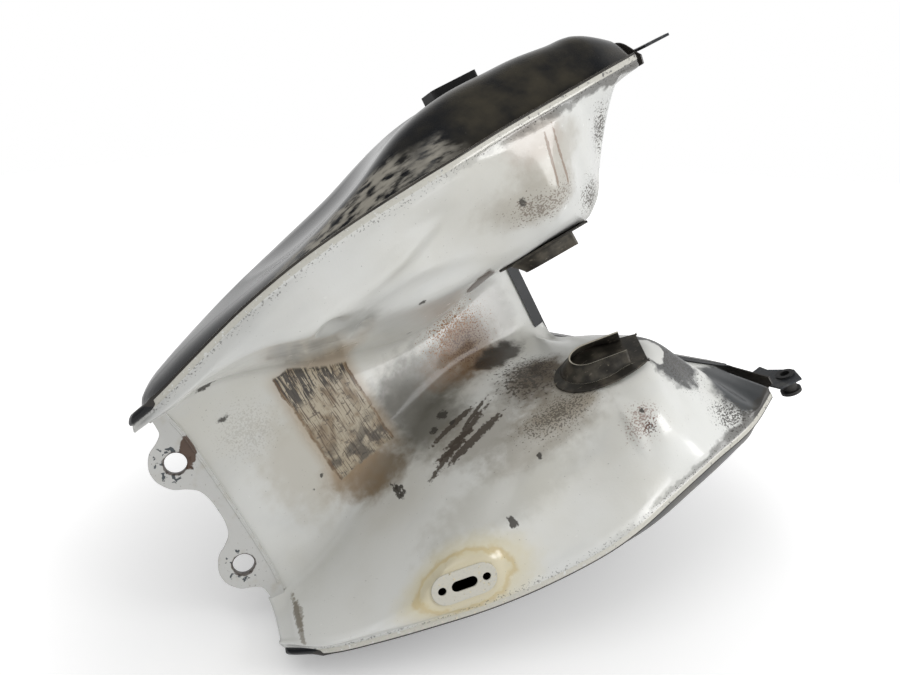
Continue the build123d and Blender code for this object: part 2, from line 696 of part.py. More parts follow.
def build_filler():
    """Filler dish in the skin's hole, with its neck and bolt bosses, and the gasket."""
    outer = filler_hole - seam_gap
    with BuildPart() as dish:
        ring_body(-wall, outer, neck_radius, wall)
        ring_body(-wall, outer, outer - wall, filler_drop - wall)
        ring_body(-neck_depth, neck_wall_radius + wall, neck_wall_radius, neck_depth - wall)
        bolt_pillars(-boss_depth, bolt_size / 2 + boss_wall, boss_depth - wall, Mode.ADD)
        bolt_pillars(-boss_depth, bolt_size / 2, boss_depth, Mode.SUBTRACT)
    write(dish, "filler_dish")
    with BuildPart() as seal:
        ring_body(0, cap_radius, neck_radius + 2 * wall, gasket)
        bolt_pillars(0, bolt_size / 2 + fit, gasket, Mode.SUBTRACT)
    write(seal, "neck_gasket")


def disc(lift, radius, height, mode=Mode.ADD, ahead=0.0):
    """A disc in the current part, at a distance ahead of the filler's centre."""
    with BuildSketch(cap_plane(lift)) as face:
        with Locations((ahead, 0)):
            Circle(radius)
    extrude(face.sketch, amount=height, mode=mode)


def block(lift, back, front, width, height, mode=Mode.ADD):
    """A block in the current part between two places along the tank."""
    with BuildSketch(cap_plane(lift)) as face:
        with Locations(((back + front) / 2, 0)):
            Rectangle(front - back, width)
    extrude(face.sketch, amount=height, mode=mode)


def pin_rod(radius, length, mode=Mode.ADD):
    """A rod on the hinge axis, in the current part."""
    centre = cap_plane(cap_top - lid_wall / 2).origin
    with BuildSketch(Plane(origin=centre, x_dir=(1, 0, 0), z_dir=(0, -1, 0))) as face:
        with Locations((-hinge_reach, 0)):
            Circle(radius)
    extrude(face.sketch, amount=length / 2, both=True, mode=mode)


def build_cap_ring():
    """Ring of the cap, bolted into the dish, with its bolts and the hinge pin."""
    slot_end = hinge_reach + knuckle + air
    with BuildPart() as ring:
        ring_body(gasket, cap_radius, cap_bore, cap_height)
        disc(cap_top - lid_wall - air, lid_radius + air, lid_wall + air, Mode.SUBTRACT)
        block(cap_top - lid_wall / 2 - knuckle - air, -slot_end, -cap_bore,
              hinge_width + 2 * air, cap_height, Mode.SUBTRACT)
        pin_rod(pin_radius + fit / 2, pin_length, Mode.SUBTRACT)
        bolt_pillars(gasket, bolt_size / 2 + fit, cap_height, Mode.SUBTRACT)
        bolt_pillars(cap_top - bolt_head_height - fit, bolt_head + fit, cap_height, Mode.SUBTRACT)
    write(ring, "cap_ring")
    with BuildPart() as pin:
        pin_rod(pin_radius, pin_length - fit)
    write(pin, "hinge_pin")
    with BuildPart() as bolts:
        bolt_pillars(cap_top - bolt_head_height - fit, bolt_head, bolt_head_height, Mode.ADD)
        bolt_pillars(cap_top - bolt_head_height - bolt_reach, bolt_size / 2 - fit, bolt_reach, Mode.ADD)
        with BuildSketch(cap_plane(cap_top - fit)):
            with PolarLocations(bolt_ring, bolt_count, start_angle=180 / bolt_count):
                RegularPolygon(bolt_size / 2, 6)
        extrude(amount=-bolt_head_height / 2, mode=Mode.SUBTRACT)
    write(bolts, "cap_bolts")


def build_lid():
    """Lid on its knuckle, with the seal, latch guide and rivet that it carries."""
    underside = cap_top - lid_wall
    with BuildPart() as lid:
        disc(underside, lid_radius, lid_wall)
        block(underside, -hinge_reach, -plug_radius, hinge_width, lid_wall)
        pin_rod(knuckle, hinge_width)
        pin_rod(pin_radius + fit / 2, pin_length, Mode.SUBTRACT)
        disc(underside, lock_radius + fit, lid_wall, Mode.SUBTRACT, lock_offset)
        disc(underside, rivet_radius + fit / 2, lid_wall, Mode.SUBTRACT, lock_offset - cover_pivot)
    write(lid, "cap_lid")
    with BuildPart() as seal:
        ring_body(underside - seal_height, seal_radius, plug_radius, seal_height)
    write(seal, "lid_seal")
    with BuildPart() as guide:
        disc(-plug_depth, plug_radius - air, underside + plug_depth)
        block(latch_low - fit, -plug_radius, plug_radius, latch_width + 2 * fit,
              latch_height + 2 * fit, Mode.SUBTRACT)
        disc(latch_low + latch_height, lock_radius + fit, cap_top + plug_depth, Mode.SUBTRACT, lock_offset)
        disc(underside - lid_wall, rivet_radius + fit / 2, lid_wall, Mode.SUBTRACT,
             lock_offset - cover_pivot)
    write(guide, "latch_guide")
    with BuildPart() as rivet:
        disc(underside - lid_wall / 2, rivet_radius, 1.5 * lid_wall + cover_wall + 3 * fit, Mode.ADD,
             lock_offset - cover_pivot)
        disc(cap_top + cover_wall + 3 * fit, 2 * rivet_radius, cover_wall / 2, Mode.ADD,
             lock_offset - cover_pivot)
    write(rivet, "cover_rivet")


def build_lock():
    """Lock barrel, the latch bolt that it drives, and the cover over the keyhole."""
    lock_low = latch_low + latch_height + air
    with BuildPart() as lock:
        disc(lock_low, lock_radius, cap_top - air - lock_low, Mode.ADD, lock_offset)
        with BuildSketch(cap_plane(cap_top - air)):
            with Locations((lock_offset, 0)):
                Rectangle(*key_slot)
        extrude(amount=-lid_wall, mode=Mode.SUBTRACT)
    write(lock, "lock_barrel")
    with BuildPart() as latch:
        block(latch_low, -plug_radius / 3, latch_tip, latch_width, latch_height)
    write(latch, "latch_bolt")
    with BuildPart() as cover:
        with BuildSketch(cap_plane(cap_top + 2 * fit)):
            with Locations((lock_offset, 0)):
                Circle(cover_radius)
            with Locations((lock_offset - cover_pivot, 0)):
                Circle(2 * rivet_radius)
                Rectangle(cover_pivot, 3 * rivet_radius, align=(Align.MIN, Align.CENTER))
                Circle(rivet_radius + fit, mode=Mode.SUBTRACT)
        extrude(amount=cover_wall)
    write(cover, "key_cover")


build_sheets()
build_front_panel()
build_ear_plate()
build_damper_seats()
build_lip_trim()
build_front_tabs()
build_side_pads()
build_tap_plate()
build_baffle()
build_filler()
build_cap_ring()
build_lid()
build_lock()
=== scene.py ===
import math
import bpy
import bmesh
from mathutils import Matrix, Vector


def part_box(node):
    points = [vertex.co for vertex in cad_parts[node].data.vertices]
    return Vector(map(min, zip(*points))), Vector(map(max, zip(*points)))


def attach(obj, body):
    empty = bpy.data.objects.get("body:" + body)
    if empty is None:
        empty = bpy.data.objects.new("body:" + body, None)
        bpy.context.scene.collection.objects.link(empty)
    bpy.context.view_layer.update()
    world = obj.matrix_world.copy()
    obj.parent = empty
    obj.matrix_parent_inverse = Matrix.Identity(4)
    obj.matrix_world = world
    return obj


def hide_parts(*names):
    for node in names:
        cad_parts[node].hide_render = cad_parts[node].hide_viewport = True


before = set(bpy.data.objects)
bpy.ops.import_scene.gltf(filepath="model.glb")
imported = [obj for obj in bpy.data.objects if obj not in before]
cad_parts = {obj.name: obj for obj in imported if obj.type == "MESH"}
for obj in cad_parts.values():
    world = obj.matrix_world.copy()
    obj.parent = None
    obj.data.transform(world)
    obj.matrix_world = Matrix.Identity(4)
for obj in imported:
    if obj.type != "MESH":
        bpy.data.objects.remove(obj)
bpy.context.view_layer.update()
mm = 0.001
print("frame loaded:", len(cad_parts), "nodes")

# the tank's form, in millimetres and in shares of its main sizes
form = {
    "length": 482.0,
    "halfWidth": 157.0,
    "crown": 178.0,
    "belly": 114.0,
    "mouthShare": 0.722,
    "mouthHalf": 56.0,
    "mouthHeight": 95.0,
    "corner": (159.0, -11.0),
    "shelfEnd": 15.0,
    "shelfHeight": 3.3,
    "rearShare": 0.0166,
    "startShare": 0.002,
    "endShare": 0.935,
    "wall": 1.2,
    "flange": 4.6,
    "skinFlange": 3.4,
    "skinReach": 1.6,
    "flangeGap": 0.9,
    "joggle": 3.0,
    "joggleFrom": 12.0,
    "joggleTo": 19.0,
    "ceilingStart": 9.5,
    "cornerRound": 8.0,
    "flangeTail": 6.0,
    "tailAlong": (5.0, 14.0),
    "tailBehind": (8.0, 34.0),
    "joggleRise": 14.0,
    "joggleTop": (6.0, -14.0),
    "panSteps": (2.5, 2.0),
    "skinSteps": (3.0, 2.5),
    "fold": 0.40,
    "ceilingReach": 200.0,
    "weld": 0.02,
}
hair = 1e-6  # a share that puts a station just past the mouth's edge
runPoints = 6  # points on each straight run and past the last bend
ceilingPoints = 4  # points of the wall's fold that belong to the ceiling
# share of the length, then the seam's y and z
seamRows = [
    (0.012, 0.656, -0.53), (0.06, 0.700, -0.68), (0.124, 0.764, -0.745), (0.21, 0.844, -0.80),
    (0.30, 0.905, -0.88), (0.39, 0.942, -0.95), (0.49, 0.966, -1.00), (0.56, 0.976, -0.985),
    (0.64, 0.987, -0.91), (0.75, 0.994, -0.82), (0.845, 1.0, -0.745), (0.93, 1.0, -0.58),
    (0.96, 1.0, -0.49), (1.0, 1.012, -0.13),
]
# share of the length, then y and z of the lobe's outer edge, its inner edge, the foot
# of the tunnel wall and a point up the wall, and last the y of the ceiling's edge
tunnelRows = [
    (0.012, 0.600, -0.53, 0.600, -0.42, 0.590, -0.30, 0.580, -0.14, 0.550),
    (0.06, 0.640, -0.72, 0.622, -0.66, 0.610, -0.40, 0.590, -0.10, 0.568),
    (0.13, 0.690, -0.80, 0.670, -0.76, 0.615, -0.42, 0.570, -0.08, 0.540),
    (0.21, 0.770, -0.85, 0.680, -0.86, 0.575, -0.45, 0.500, -0.02, 0.435),
    (0.28, 0.820, -0.87, 0.625, -0.88, 0.535, -0.50, 0.420, 0.00, 0.320),
    (0.34, 0.850, -0.89, 0.645, -0.85, 0.510, -0.52, 0.350, 0.05, 0.255),
    (0.42, 0.880, -0.95, 0.690, -0.80, 0.475, -0.53, 0.290, 0.10, 0.180),
    (0.50, 0.900, -0.98, 0.705, -0.69, 0.445, -0.53, 0.260, 0.15, 0.160),
    (0.57, 0.910, -0.95, 0.690, -0.71, 0.425, -0.53, 0.270, 0.18, 0.190),
    (0.63, 0.915, -0.91, 0.600, -0.75, 0.402, -0.53, 0.300, 0.18, 0.235),
    (0.68, 0.920, -0.88, 0.585, -0.82, 0.402, -0.53, 0.300, 0.18, 0.262),
    (0.722, 0.920, -0.86, 0.600, -0.74, 0.402, -0.53, 0.300, 0.18, 0.357),
    (0.75, 0.920, -0.82, 0.600, -0.63, 0.400, -0.50, 0.312, 0.09, 0.0),
    (0.772, 0.920, -0.78, 0.590, -0.58, 0.395, -0.44, 0.338, -0.09, 0.0),
    (0.788, 0.920, -0.74, 0.590, -0.54, 0.430, -0.41, 0.370, -0.22, 0.0),
    (0.804, 0.925, -0.72, 0.640, -0.50, 0.480, -0.40, 0.430, -0.29, 0.0),
    (0.826, 0.930, -0.70, 0.720, -0.48, 0.610, -0.41, 0.567, -0.34, 0.0),
    (0.853, 0.940, -0.70, 0.860, -0.60, 0.760, -0.46, 0.690, -0.33, 0.0),
    (0.88, 0.950, -0.69, 0.945, -0.66, 0.915, -0.56, 0.850, -0.33, 0.0),
    (0.913, 0.942, -0.62, 0.936, -0.57, 0.920, -0.44, 0.880, -0.20, 0.0),
    (0.944, 0.942, -0.54, 0.934, -0.49, 0.926, -0.38, 0.912, -0.15, 0.0),
    (0.97, 0.944, -0.44, 0.940, -0.40, 0.938, -0.28, 0.935, -0.14, 0.0),
    (1.0, 0.965, -0.16, 0.967, -0.15, 0.972, -0.13, 0.985, -0.12, 0.0),
]
# share of the length, then y and z of five points up the flank and over, and last the
# height on the centre line or at the front panel
skinRows = [
    (0.0166, 0.630, -0.25, 0.617, -0.10, 0.600, 0.020, 0.50, 0.038, 0.25, 0.039, 0.039),
    (0.03, 0.700, -0.26, 0.705, -0.10, 0.680, 0.080, 0.50, 0.105, 0.25, 0.118, 0.120),
    (0.075, 0.760, -0.28, 0.775, -0.05, 0.750, 0.170, 0.56, 0.240, 0.28, 0.275, 0.285),
    (0.15, 0.830, -0.30, 0.840, 0.00, 0.840, 0.300, 0.62, 0.450, 0.30, 0.500, 0.520),
    (0.23, 0.885, -0.34, 0.890, 0.02, 0.920, 0.420, 0.68, 0.640, 0.32, 0.710, 0.730),
    (0.33, 0.960, -0.38, 0.930, 0.03, 1.015, 0.480, 0.76, 0.770, 0.36, 0.870, 0.890),
    (0.43, 1.070, -0.42, 1.010, 0.02, 1.105, 0.480, 0.84, 0.830, 0.40, 0.950, 0.970),
    (0.53, 1.200, -0.40, 1.160, 0.02, 1.195, 0.480, 0.90, 0.840, 0.42, 0.990, 1.000),
    (0.62, 1.250, -0.38, 1.235, 0.02, 1.250, 0.480, 0.92, 0.830, 0.44, 0.990, 1.000),
    (0.722, 1.255, -0.34, 1.248, 0.02, 1.250, 0.440, 0.94, 0.770, 0.55, 0.950, 0.960),
    (0.77, 1.255, -0.32, 1.245, 0.02, 1.240, 0.400, 1.00, 0.690, 0.70, 0.850, 0.890),
    (0.83, 1.240, -0.30, 1.225, 0.00, 1.205, 0.300, 1.05, 0.540, 0.86, 0.670, 0.720),
    (0.88, 1.225, -0.28, 1.215, -0.02, 1.180, 0.200, 1.06, 0.380, 0.94, 0.480, 0.520),
    (0.94, 1.130, -0.22, 1.120, -0.05, 1.100, 0.080, 1.04, 0.180, 0.98, 0.240, 0.280),
    (1.0, 1.025, -0.08, 1.022, -0.05, 1.020, -0.02, 1.018, 0.00, 1.015, 0.010, 0.015),
]


def law(share, rows, column):
    # one column of a form table at a share of the length, on a smooth curve
    k = max([0] + [i for i in range(len(rows) - 1) if rows[i][0] <= share])
    x0, x1 = rows[k][0], rows[k + 1][0]
    v0, v1 = rows[k][column], rows[k + 1][column]
    before, after = rows[max(k - 1, 0)], rows[min(k + 2, len(rows) - 1)]
    slope0 = (v1 - before[column]) / (x1 - before[0])
    slope1 = (after[column] - v0) / (after[0] - x0)
    t = (share - x0) / (x1 - x0)
    ease = 3 * t**2 - 2 * t**3
    bend = slope0 * (t**3 - 2 * t**2 + t) + slope1 * (t**3 - t**2)
    return v0 * (1 - ease) + v1 * ease + bend * (x1 - x0)


def seamPoint(share):
    return form["halfWidth"] * law(share, seamRows, 1), form["belly"] * law(share, seamRows, 2)


def lipPoint(share):
    t = (share - form["mouthShare"]) / (1 - form["mouthShare"])
    y = form["mouthHalf"] + (form["corner"][0] - form["mouthHalf"]) * t
    return y, form["mouthHeight"] + (form["corner"][1] - form["mouthHeight"]) * t


def ceilingHeight(share):
    start = form["shelfEnd"] / form["length"]
    run = max(0.0, share - start) / (form["mouthShare"] - start)
    return form["shelfHeight"] + (form["mouthHeight"] - form["shelfHeight"]) * run


def pressed(corners, softness, steps=8, straight=runPoints, last=runPoints):
    # a polyline with its corners turned into parabolas, always with the same count of points
    points = [corners[0]]
    start = Vector(corners[0])
    for k in range(1, len(corners) - 1):
        a, b, c = (Vector(p) for p in corners[k - 1:k + 2])
        reach = softness[k - 1] * min((a - b).length, (c - b).length)
        p = b + (a - b).normalized() * reach
        q = b + (c - b).normalized() * reach
        for i in range(1, straight + 1):
            points.append(tuple(start.lerp(p, i / straight)))
        for i in range(1, steps + 1):
            t = i / steps
            points.append(tuple(p * (1 - t) ** 2 + b * 2 * t * (1 - t) + q * t**2))
        start = q
    for i in range(1, last + 1):
        points.append(tuple(start.lerp(Vector(corners[-1]), i / last)))
    return points


def panHalf(share):
    # the underside at one station, from the flange's edge inwards, as corners and softness
    seamY, seamZ = seamPoint(share)
    root = form["flange"]
    corners = [(seamY, seamZ), (seamY - root + 1.0, seamZ), (seamY - root - 0.8, seamZ + 1.0)]
    softness = [0.5, 0.45]
    for column in (1, 3, 5, 7):
        y = form["halfWidth"] * law(share, tunnelRows, column)
        corners.append((y, form["belly"] * law(share, tunnelRows, column + 1)))
        softness.append(0.42)
    return corners, softness


def panSection(share):
    # full half section: flange to the middle of the ceiling, or to the lip past the mouth
    corners, softness = panHalf(share)
    height = ceilingHeight(min(share, form["mouthShare"]))
    edgeY = form["halfWidth"] * law(min(share, form["mouthShare"]), tunnelRows, 9)
    if share > form["mouthShare"]:
        lip = lipPoint(share)
        return pressed(corners + [lip], softness, last=10), None
    whole = pressed(corners + [(edgeY, height), (0.0, height)], softness + [form["fold"]])
    cut = len(whole) - runPoints - ceilingPoints
    return whole[:cut], whole[cut - 1:]


def skinSection(share):
    # the outer skin at one station, from the flange's edge up to the middle or the lip
    seamY, seamZ = seamPoint(share)
    low = seamZ + form["wall"] + form["flangeGap"]
    root = form["skinFlange"]
    corners = [(seamY + form["skinReach"], low), (seamY - root, low), (seamY - root - 0.6, low + 2.0)]
    softness = [0.4, 0.4]
    for column in (1, 3, 5, 7, 9):
        y = form["halfWidth"] * law(share, skinRows, column)
        corners.append((y, form["crown"] * law(share, skinRows, column + 1)))
        softness.append(0.5)
    innerY = 0.0 if share <= form["mouthShare"] else lipPoint(share)[0]
    corners.append((innerY, form["crown"] * law(share, skinRows, 11)))
    return pressed(corners, softness)


def turnTowards(direction):
    return Vector(direction).to_track_quat("X", "Z").to_euler()


def smoothStep(low, high, value):
    t = min(1.0, max(0.0, (value - low) / (high - low)))
    return t * t * (3 - 2 * t)


def linked(name, data):
    piece = bpy.data.objects.new(name, data)
    bpy.context.scene.collection.objects.link(piece)
    return piece


def pieceOf(name, mesh):
    # a piece in the scene from a mesh that is ready
    for face in mesh.faces:
        face.smooth = True
    data = bpy.data.meshes.new(name)
    mesh.to_mesh(data)
    mesh.free()
    return linked(name, data)


def stitch(mesh, rows, turned=False):
    # faces between rows of points that follow each other
    for a, b in zip(rows, rows[1:]):
        for k in range(len(a) - 1):
            corners = (a[k], b[k], b[k + 1], a[k + 1])
            mesh.faces.new(corners[::-1] if turned else corners)


def sheetMesh(name, strips, thickness):
    # strips are grids of points in millimetres, welded where they meet and given a thickness inwards;
    # "reach" keeps how far along its row a point lies, for the paint
    mesh = bmesh.new()
    reach = mesh.verts.layers.float.new("reach")
    for rows, turned, start in strips:
        grid = []
        for row in rows:
            line = [mesh.verts.new(Vector(p) * mm) for p in row]
            line[0][reach] = start
            for before, after in zip(line, line[1:]):
                after[reach] = before[reach] + (after.co - before.co).length / mm
            grid.append(line)
        stitch(mesh, grid, turned)
    bmesh.ops.remove_doubles(mesh, verts=mesh.verts, dist=form["weld"] * mm)
    piece = pieceOf(name, mesh)
    solid = piece.modifiers.new("sheet", "SOLIDIFY")
    solid.thickness = thickness * mm
    solid.offset = -1
    solid.use_even_offset = True
    solid.material_offset_rim = 1
    return piece


def stations(start, end, step):
    count = max(2, int(round((end - start) * form["length"] / step)))
    return [start + (end - start) * i / count for i in range(count + 1)]


def placed(rows, shares, side):
    return [[(share * form["length"], side * y, z) for y, z in row] for share, row in zip(shares, rows)]


def rearFlange(rows, shares):
    # the rear border stands a little outwards, as a flange with a step behind it
    moved = []
    for row, share in zip(rows, shares):
        x = share * form["length"]
        out = form["joggle"] * (1 - smoothStep(form["joggleFrom"], form["joggleTo"], x))
        low = row[0][1]
        high = low + form["joggleRise"]
        moved.append([(y + out * smoothStep(low, high, z) * smoothStep(*form["joggleTop"], z), z)
                      for y, z in row])
    return moved


def shifted(rows, shift):
    # points moved along the tank by what a rule makes of their way up the row and their x
    return [[(x + shift(math.hypot(y - row[0][1], z - row[0][2]), x), y, z) for x, y, z in row]
            for row in rows]


def roundCorner(rows):
    # the flange's rear corner is rounded off
    radius = form["cornerRound"]

    def cut(along, x):
        depth = radius - math.sqrt(max(0.0, radius**2 - max(0.0, radius - along) ** 2))
        return depth * (1 - smoothStep(form["joggleFrom"], form["joggleTo"] + radius, x))

    return shifted(rows, cut)


def drawnBack(rows):
    # the skin's flange runs on to the rear corner, and is rounded off there
    def tail(along, x):
        close = (1 - smoothStep(*form["tailAlong"], along)) * (1 - smoothStep(*form["tailBehind"], x))
        return -form["flangeTail"] * close

    return roundCorner(shifted(rows, tail))


def buildPan():
    body = stations(form["startShare"], form["mouthShare"], form["panSteps"][0])
    front = stations(form["mouthShare"], form["endShare"], form["panSteps"][1])
    strips = []
    for side in (1, -1):
        walls = rearFlange([panSection(share)[0] for share in body], body)
        walls += [panSection(share + hair)[0] for share in front[1:]]
        strips.append((roundCorner(placed(walls, body + front[1:], side)), side < 0, 0.0))
        roofed = [share for share in body if share * form["length"] > form["ceilingStart"]]
        ceiling = [panSection(share)[1] for share in roofed]
        strips.append((placed(ceiling, roofed, side), side < 0, form["ceilingReach"]))
    return sheetMesh("underside", strips, form["wall"])


def buildSkin():
    body = stations(form["rearShare"], form["mouthShare"], form["skinSteps"][0])
    front = stations(form["mouthShare"], form["endShare"], form["skinSteps"][1])
    strips = []
    for side in (1, -1):
        rows = [skinSection(share) for share in body + front[1:]]
        strips.append((drawnBack(placed(rows, body + front[1:], side)), side > 0, 0.0))
    return sheetMesh("outerSkin", strips, form["wall"])


def openSheet(piece, inside, settle):
    # leaves out the faces inside an outline and moves the border onto it
    mesh = bmesh.new()
    mesh.from_mesh(piece.data)
    gone = [face for face in mesh.faces if inside(face.calc_center_median() / mm)]
    bmesh.ops.delete(mesh, geom=gone, context="FACES")
    for vertex in mesh.verts:
        if vertex.is_boundary:
            vertex.co = settle(vertex.co / mm) * mm
    mesh.to_mesh(piece.data)
    mesh.free()


# hollows and ridges pressed into the lobes: middle, half sizes, long way and depth
dents = [
    {"at": (146, -93, -84), "size": (15, 13, 26), "towards": (0.75, -0.35, -0.55), "depth": 7.0},
    {"at": (125, -95, -52), "size": (58, 10, 10), "towards": (0.05, 0.46, 0.89), "depth": -2.6},
    {"at": (168, -76, -50), "size": (24, 9, 10), "towards": (0.3, -0.35, -0.9), "depth": 4.5},
    {"at": (205, -112, -92), "size": (52, 12, 14), "towards": (0.9, -0.2, 0.1), "depth": -3.4},
    {"at": (225, -80, -70), "size": (60, 15, 20), "towards": (0.9, 0.1, 0.1), "depth": 4.0},
    {"at": (310, 97, -88), "size": (32, 7, 10), "towards": (-0.15, 0.8, -0.5), "depth": -2.4},
    {"at": (262, 92, -82), "size": (34, 15, 18), "towards": (0.9, 0.1, -0.1), "depth": 3.0},
]


def pressDents(piece):
    turns = [turnTowards(dent["towards"]).to_matrix().inverted() for dent in dents]
    normals = [vertex.normal.copy() for vertex in piece.data.vertices]
    for vertex, normal in zip(piece.data.vertices, normals):
        shift = 0.0
        for dent, turn in zip(dents, turns):
            local = turn @ (vertex.co / mm - Vector(dent["at"]))
            far = math.sqrt(sum((a / b) ** 2 for a, b in zip(local, dent["size"])))
            shift += dent["depth"] * max(0.0, 1 - far**2) ** 2
        vertex.co -= normal * shift * mm


# the fuel tap's flat seat on the left lobe
tapLean = math.radians(4)
tapTurn = math.radians(15)
tap = {
    "middle": (135.5, 112.5, -100.9),
    "size": (50.0, 24.0),
    "corner": 9.0,
    "outlet": (19.6, 8.4),
    "pitch": 34.0,
    "opening": (21, 8, 5),
    "flat": (17.0, 4.0),
    "flatRound": 8.5,
    "depth": 12.0,
    "screw": 3.1,
    "thickness": 1.0,
    "sunk": 0.3,
    "edge": 0.35,
    "blend": 9.0,
}
tapOut = Vector((-math.sin(tapLean), 0, -math.cos(tapLean)))
tapAlong = (Vector((math.cos(tapLean), 0, -math.sin(tapLean))) * math.cos(tapTurn)
            + Vector((0, math.sin(tapTurn), 0)))
tapAcross = tapOut.cross(tapAlong)


def tapPlace(point):
    local = Vector(point) - Vector(tap["middle"])
    return local.dot(tapAlong), local.dot(tapAcross), local.dot(tapOut)


def flattenSeat(piece):
    for vertex in piece.data.vertices:
        u, v, n = tapPlace(vertex.co / mm)
        far = math.hypot(max(0.0, abs(u) - tap["flat"][0]), max(0.0, abs(v) - tap["flat"][1]))
        near = 1 - smoothStep(tap["flatRound"], tap["flatRound"] + tap["blend"], far)
        if near > 0 and abs(n) < tap["depth"]:
            vertex.co -= tapOut * (n + tap["thickness"]) * near * mm


def behindTap(point):
    return all(abs(way) < limit for way, limit in zip(tapPlace(point), tap["opening"]))


def slotOutline(width, height, count=12):
    radius = height / 2
    half = width / 2 - radius
    ends = []
    for centre, first in ((half, -math.pi / 2), (-half, math.pi / 2)):
        for i in range(count + 1):
            angle = first + math.pi * i / count
            ends.append((centre + radius * math.cos(angle), radius * math.sin(angle)))
    return ends


def buildTapSeat():
    screws = [ring((side * tap["pitch"] / 2, 0), tap["screw"], 24) for side in (1, -1)]
    outlines = [slotOutline(*tap["size"])] + [slotOutline(*tap["outlet"])] + screws
    origin = Vector(tap["middle"]) - tapOut * tap["thickness"]
    axes = (origin, tapAlong, tapAcross, tapOut)
    return plateMesh("tapSeat", outlines, tap["thickness"] + tap["sunk"], tap["edge"], axes)


underside = buildPan()
pressDents(underside)
flattenSeat(underside)
openSheet(underside, behindTap, Vector)
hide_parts("inner_pan")
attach(underside, "root")
print("underside pressed:", len(underside.data.vertices), "points")

farAway = 1e6
filler = {
    "hole": 45.6,
    "rim": 6.0,
    "above": 120.0,
}
dishLow, dishHigh = (Vector(corner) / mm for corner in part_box("filler_dish"))
fillerMiddle = (dishLow + dishHigh) / 2


def fillerReach(point):
    if point[2] <= filler["above"]:
        return farAway
    return math.hypot(point[0] - fillerMiddle.x, point[1] - fillerMiddle.y)


def onFillerRim(point):
    reach = fillerReach(point)
    if reach > filler["hole"] + filler["rim"]:
        return Vector(point)
    scale = filler["hole"] / reach
    return Vector((fillerMiddle.x + (point[0] - fillerMiddle.x) * scale,
                   fillerMiddle.y + (point[1] - fillerMiddle.y) * scale, point[2]))


outerSkin = buildSkin()
openSheet(outerSkin, lambda p: fillerReach(p) < filler["hole"], onFillerRim)
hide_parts("outer_shell")
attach(outerSkin, "root")
print("outer skin pressed:", len(outerSkin.data.vertices), "points")


def plateMesh(name, outlines, thickness, bevel, axes):
    # a flat pressing cut to its outlines with rounded edges; axes are an origin, along, across and out
    curve = bpy.data.curves.new(name, "CURVE")
    curve.dimensions = "2D"
    curve.fill_mode = "BOTH"
    for outline in outlines:
        spline = curve.splines.new("POLY")
        spline.points.add(len(outline) - 1)
        for point, (x, y) in zip(spline.points, outline):
            point.co = (x, y, 0, 1)
        spline.use_cyclic_u = True
    curve.extrude = thickness / 2 - bevel
    curve.bevel_depth = bevel
    curve.bevel_resolution = 3
    curve.offset = -bevel
    holder = bpy.data.objects.new(name, curve)
    data = bpy.data.meshes.new_from_object(holder)
    bpy.data.objects.remove(holder)
    origin, along, across, out = (Vector(axis) for axis in axes)
    for vertex in data.vertices:
        x, y, z = vertex.co
        vertex.co = (origin + along * x + across * y + out * (z + thickness / 2)) * mm
    if along.cross(across).dot(out) < 0:
        data.flip_normals()
    for face in data.polygons:
        face.material_index = 0 if abs(face.normal.dot(out)) > 0.9 else 1
        face.use_smooth = abs(face.normal.dot(out)) <= 0.999
    return linked(name, data)


def curveSpan(four, steps):
    # points on a smooth curve between the second and third of four points
    a, b, c, d = (Vector(point) for point in four)
    span = []
    for i in range(steps):
        t = i / steps
        bend = (a * 2 - b * 5 + c * 4 - d) * t**2
        point = b * 2 + (c - a) * t + bend + (b * 3 - a - c * 3 + d) * t**3
        span.append(tuple(point / 2))
    return span


def smoothLoop(points, steps=6):
    # a closed smooth curve through a few points
    count = len(points)
    loop = []
    for k in range(count):
        loop += curveSpan([points[(k + i) % count] for i in (-1, 0, 1, 2)], steps)
    return loop


def smoothPath(points, steps=6):
    # an open smooth curve through a few points
    ends = [points[0]] + points + [points[-1]]
    path = []
    for four in zip(ends, ends[1:], ends[2:], ends[3:]):
        path += curveSpan(four, steps)
    return path + [points[-1]]


def joined(name, pieces):
    # several meshes made one, in the first one's place
    mesh = bmesh.new()
    for piece in pieces:
        part = bmesh.new()
        part.from_mesh(piece.data)
        data = bpy.data.meshes.new("part")
        part.to_mesh(data)
        part.free()
        mesh.from_mesh(data)
        bpy.data.meshes.remove(data)
    mesh.to_mesh(pieces[0].data)
    mesh.free()
    pieces[0].name = name
    for piece in pieces[1:]:
        bpy.data.objects.remove(piece)
    return pieces[0]


# the eared plate at the rear, half its outline from the notch between the ears
earPlate = {
    "outline": [(6.5, 0), (6.0, 11), (3.0, 21), (-4.0, 27.5), (-12.0, 32.5), (-17.6, 41.5),
                (-19.0, 49.0), (-17.6, 56.5), (-12.0, 65.0), (-4.0, 69.5), (2.0, 74.5), (3.0, 81.0),
                (4.0, 88.0), (13.0, 88.0), (15.5, 79.0), (17.5, 66.0), (18.5, 40.0), (18.8, 14.0)],
    "earY": 49.0,
    "hole": 8.25,
    "thickness": 2.6,
    "rimHeight": 6.0,
    "rimWall": 1.5,
    "edge": 0.6,
    "bead": 0.55,
    "beadInset": 2.2,
}


def ring(middle, radius, count=48):
    turns = [2 * math.pi * i / count for i in range(count)]
    return [(middle[0] + radius * math.cos(t), middle[1] + radius * math.sin(t)) for t in turns]


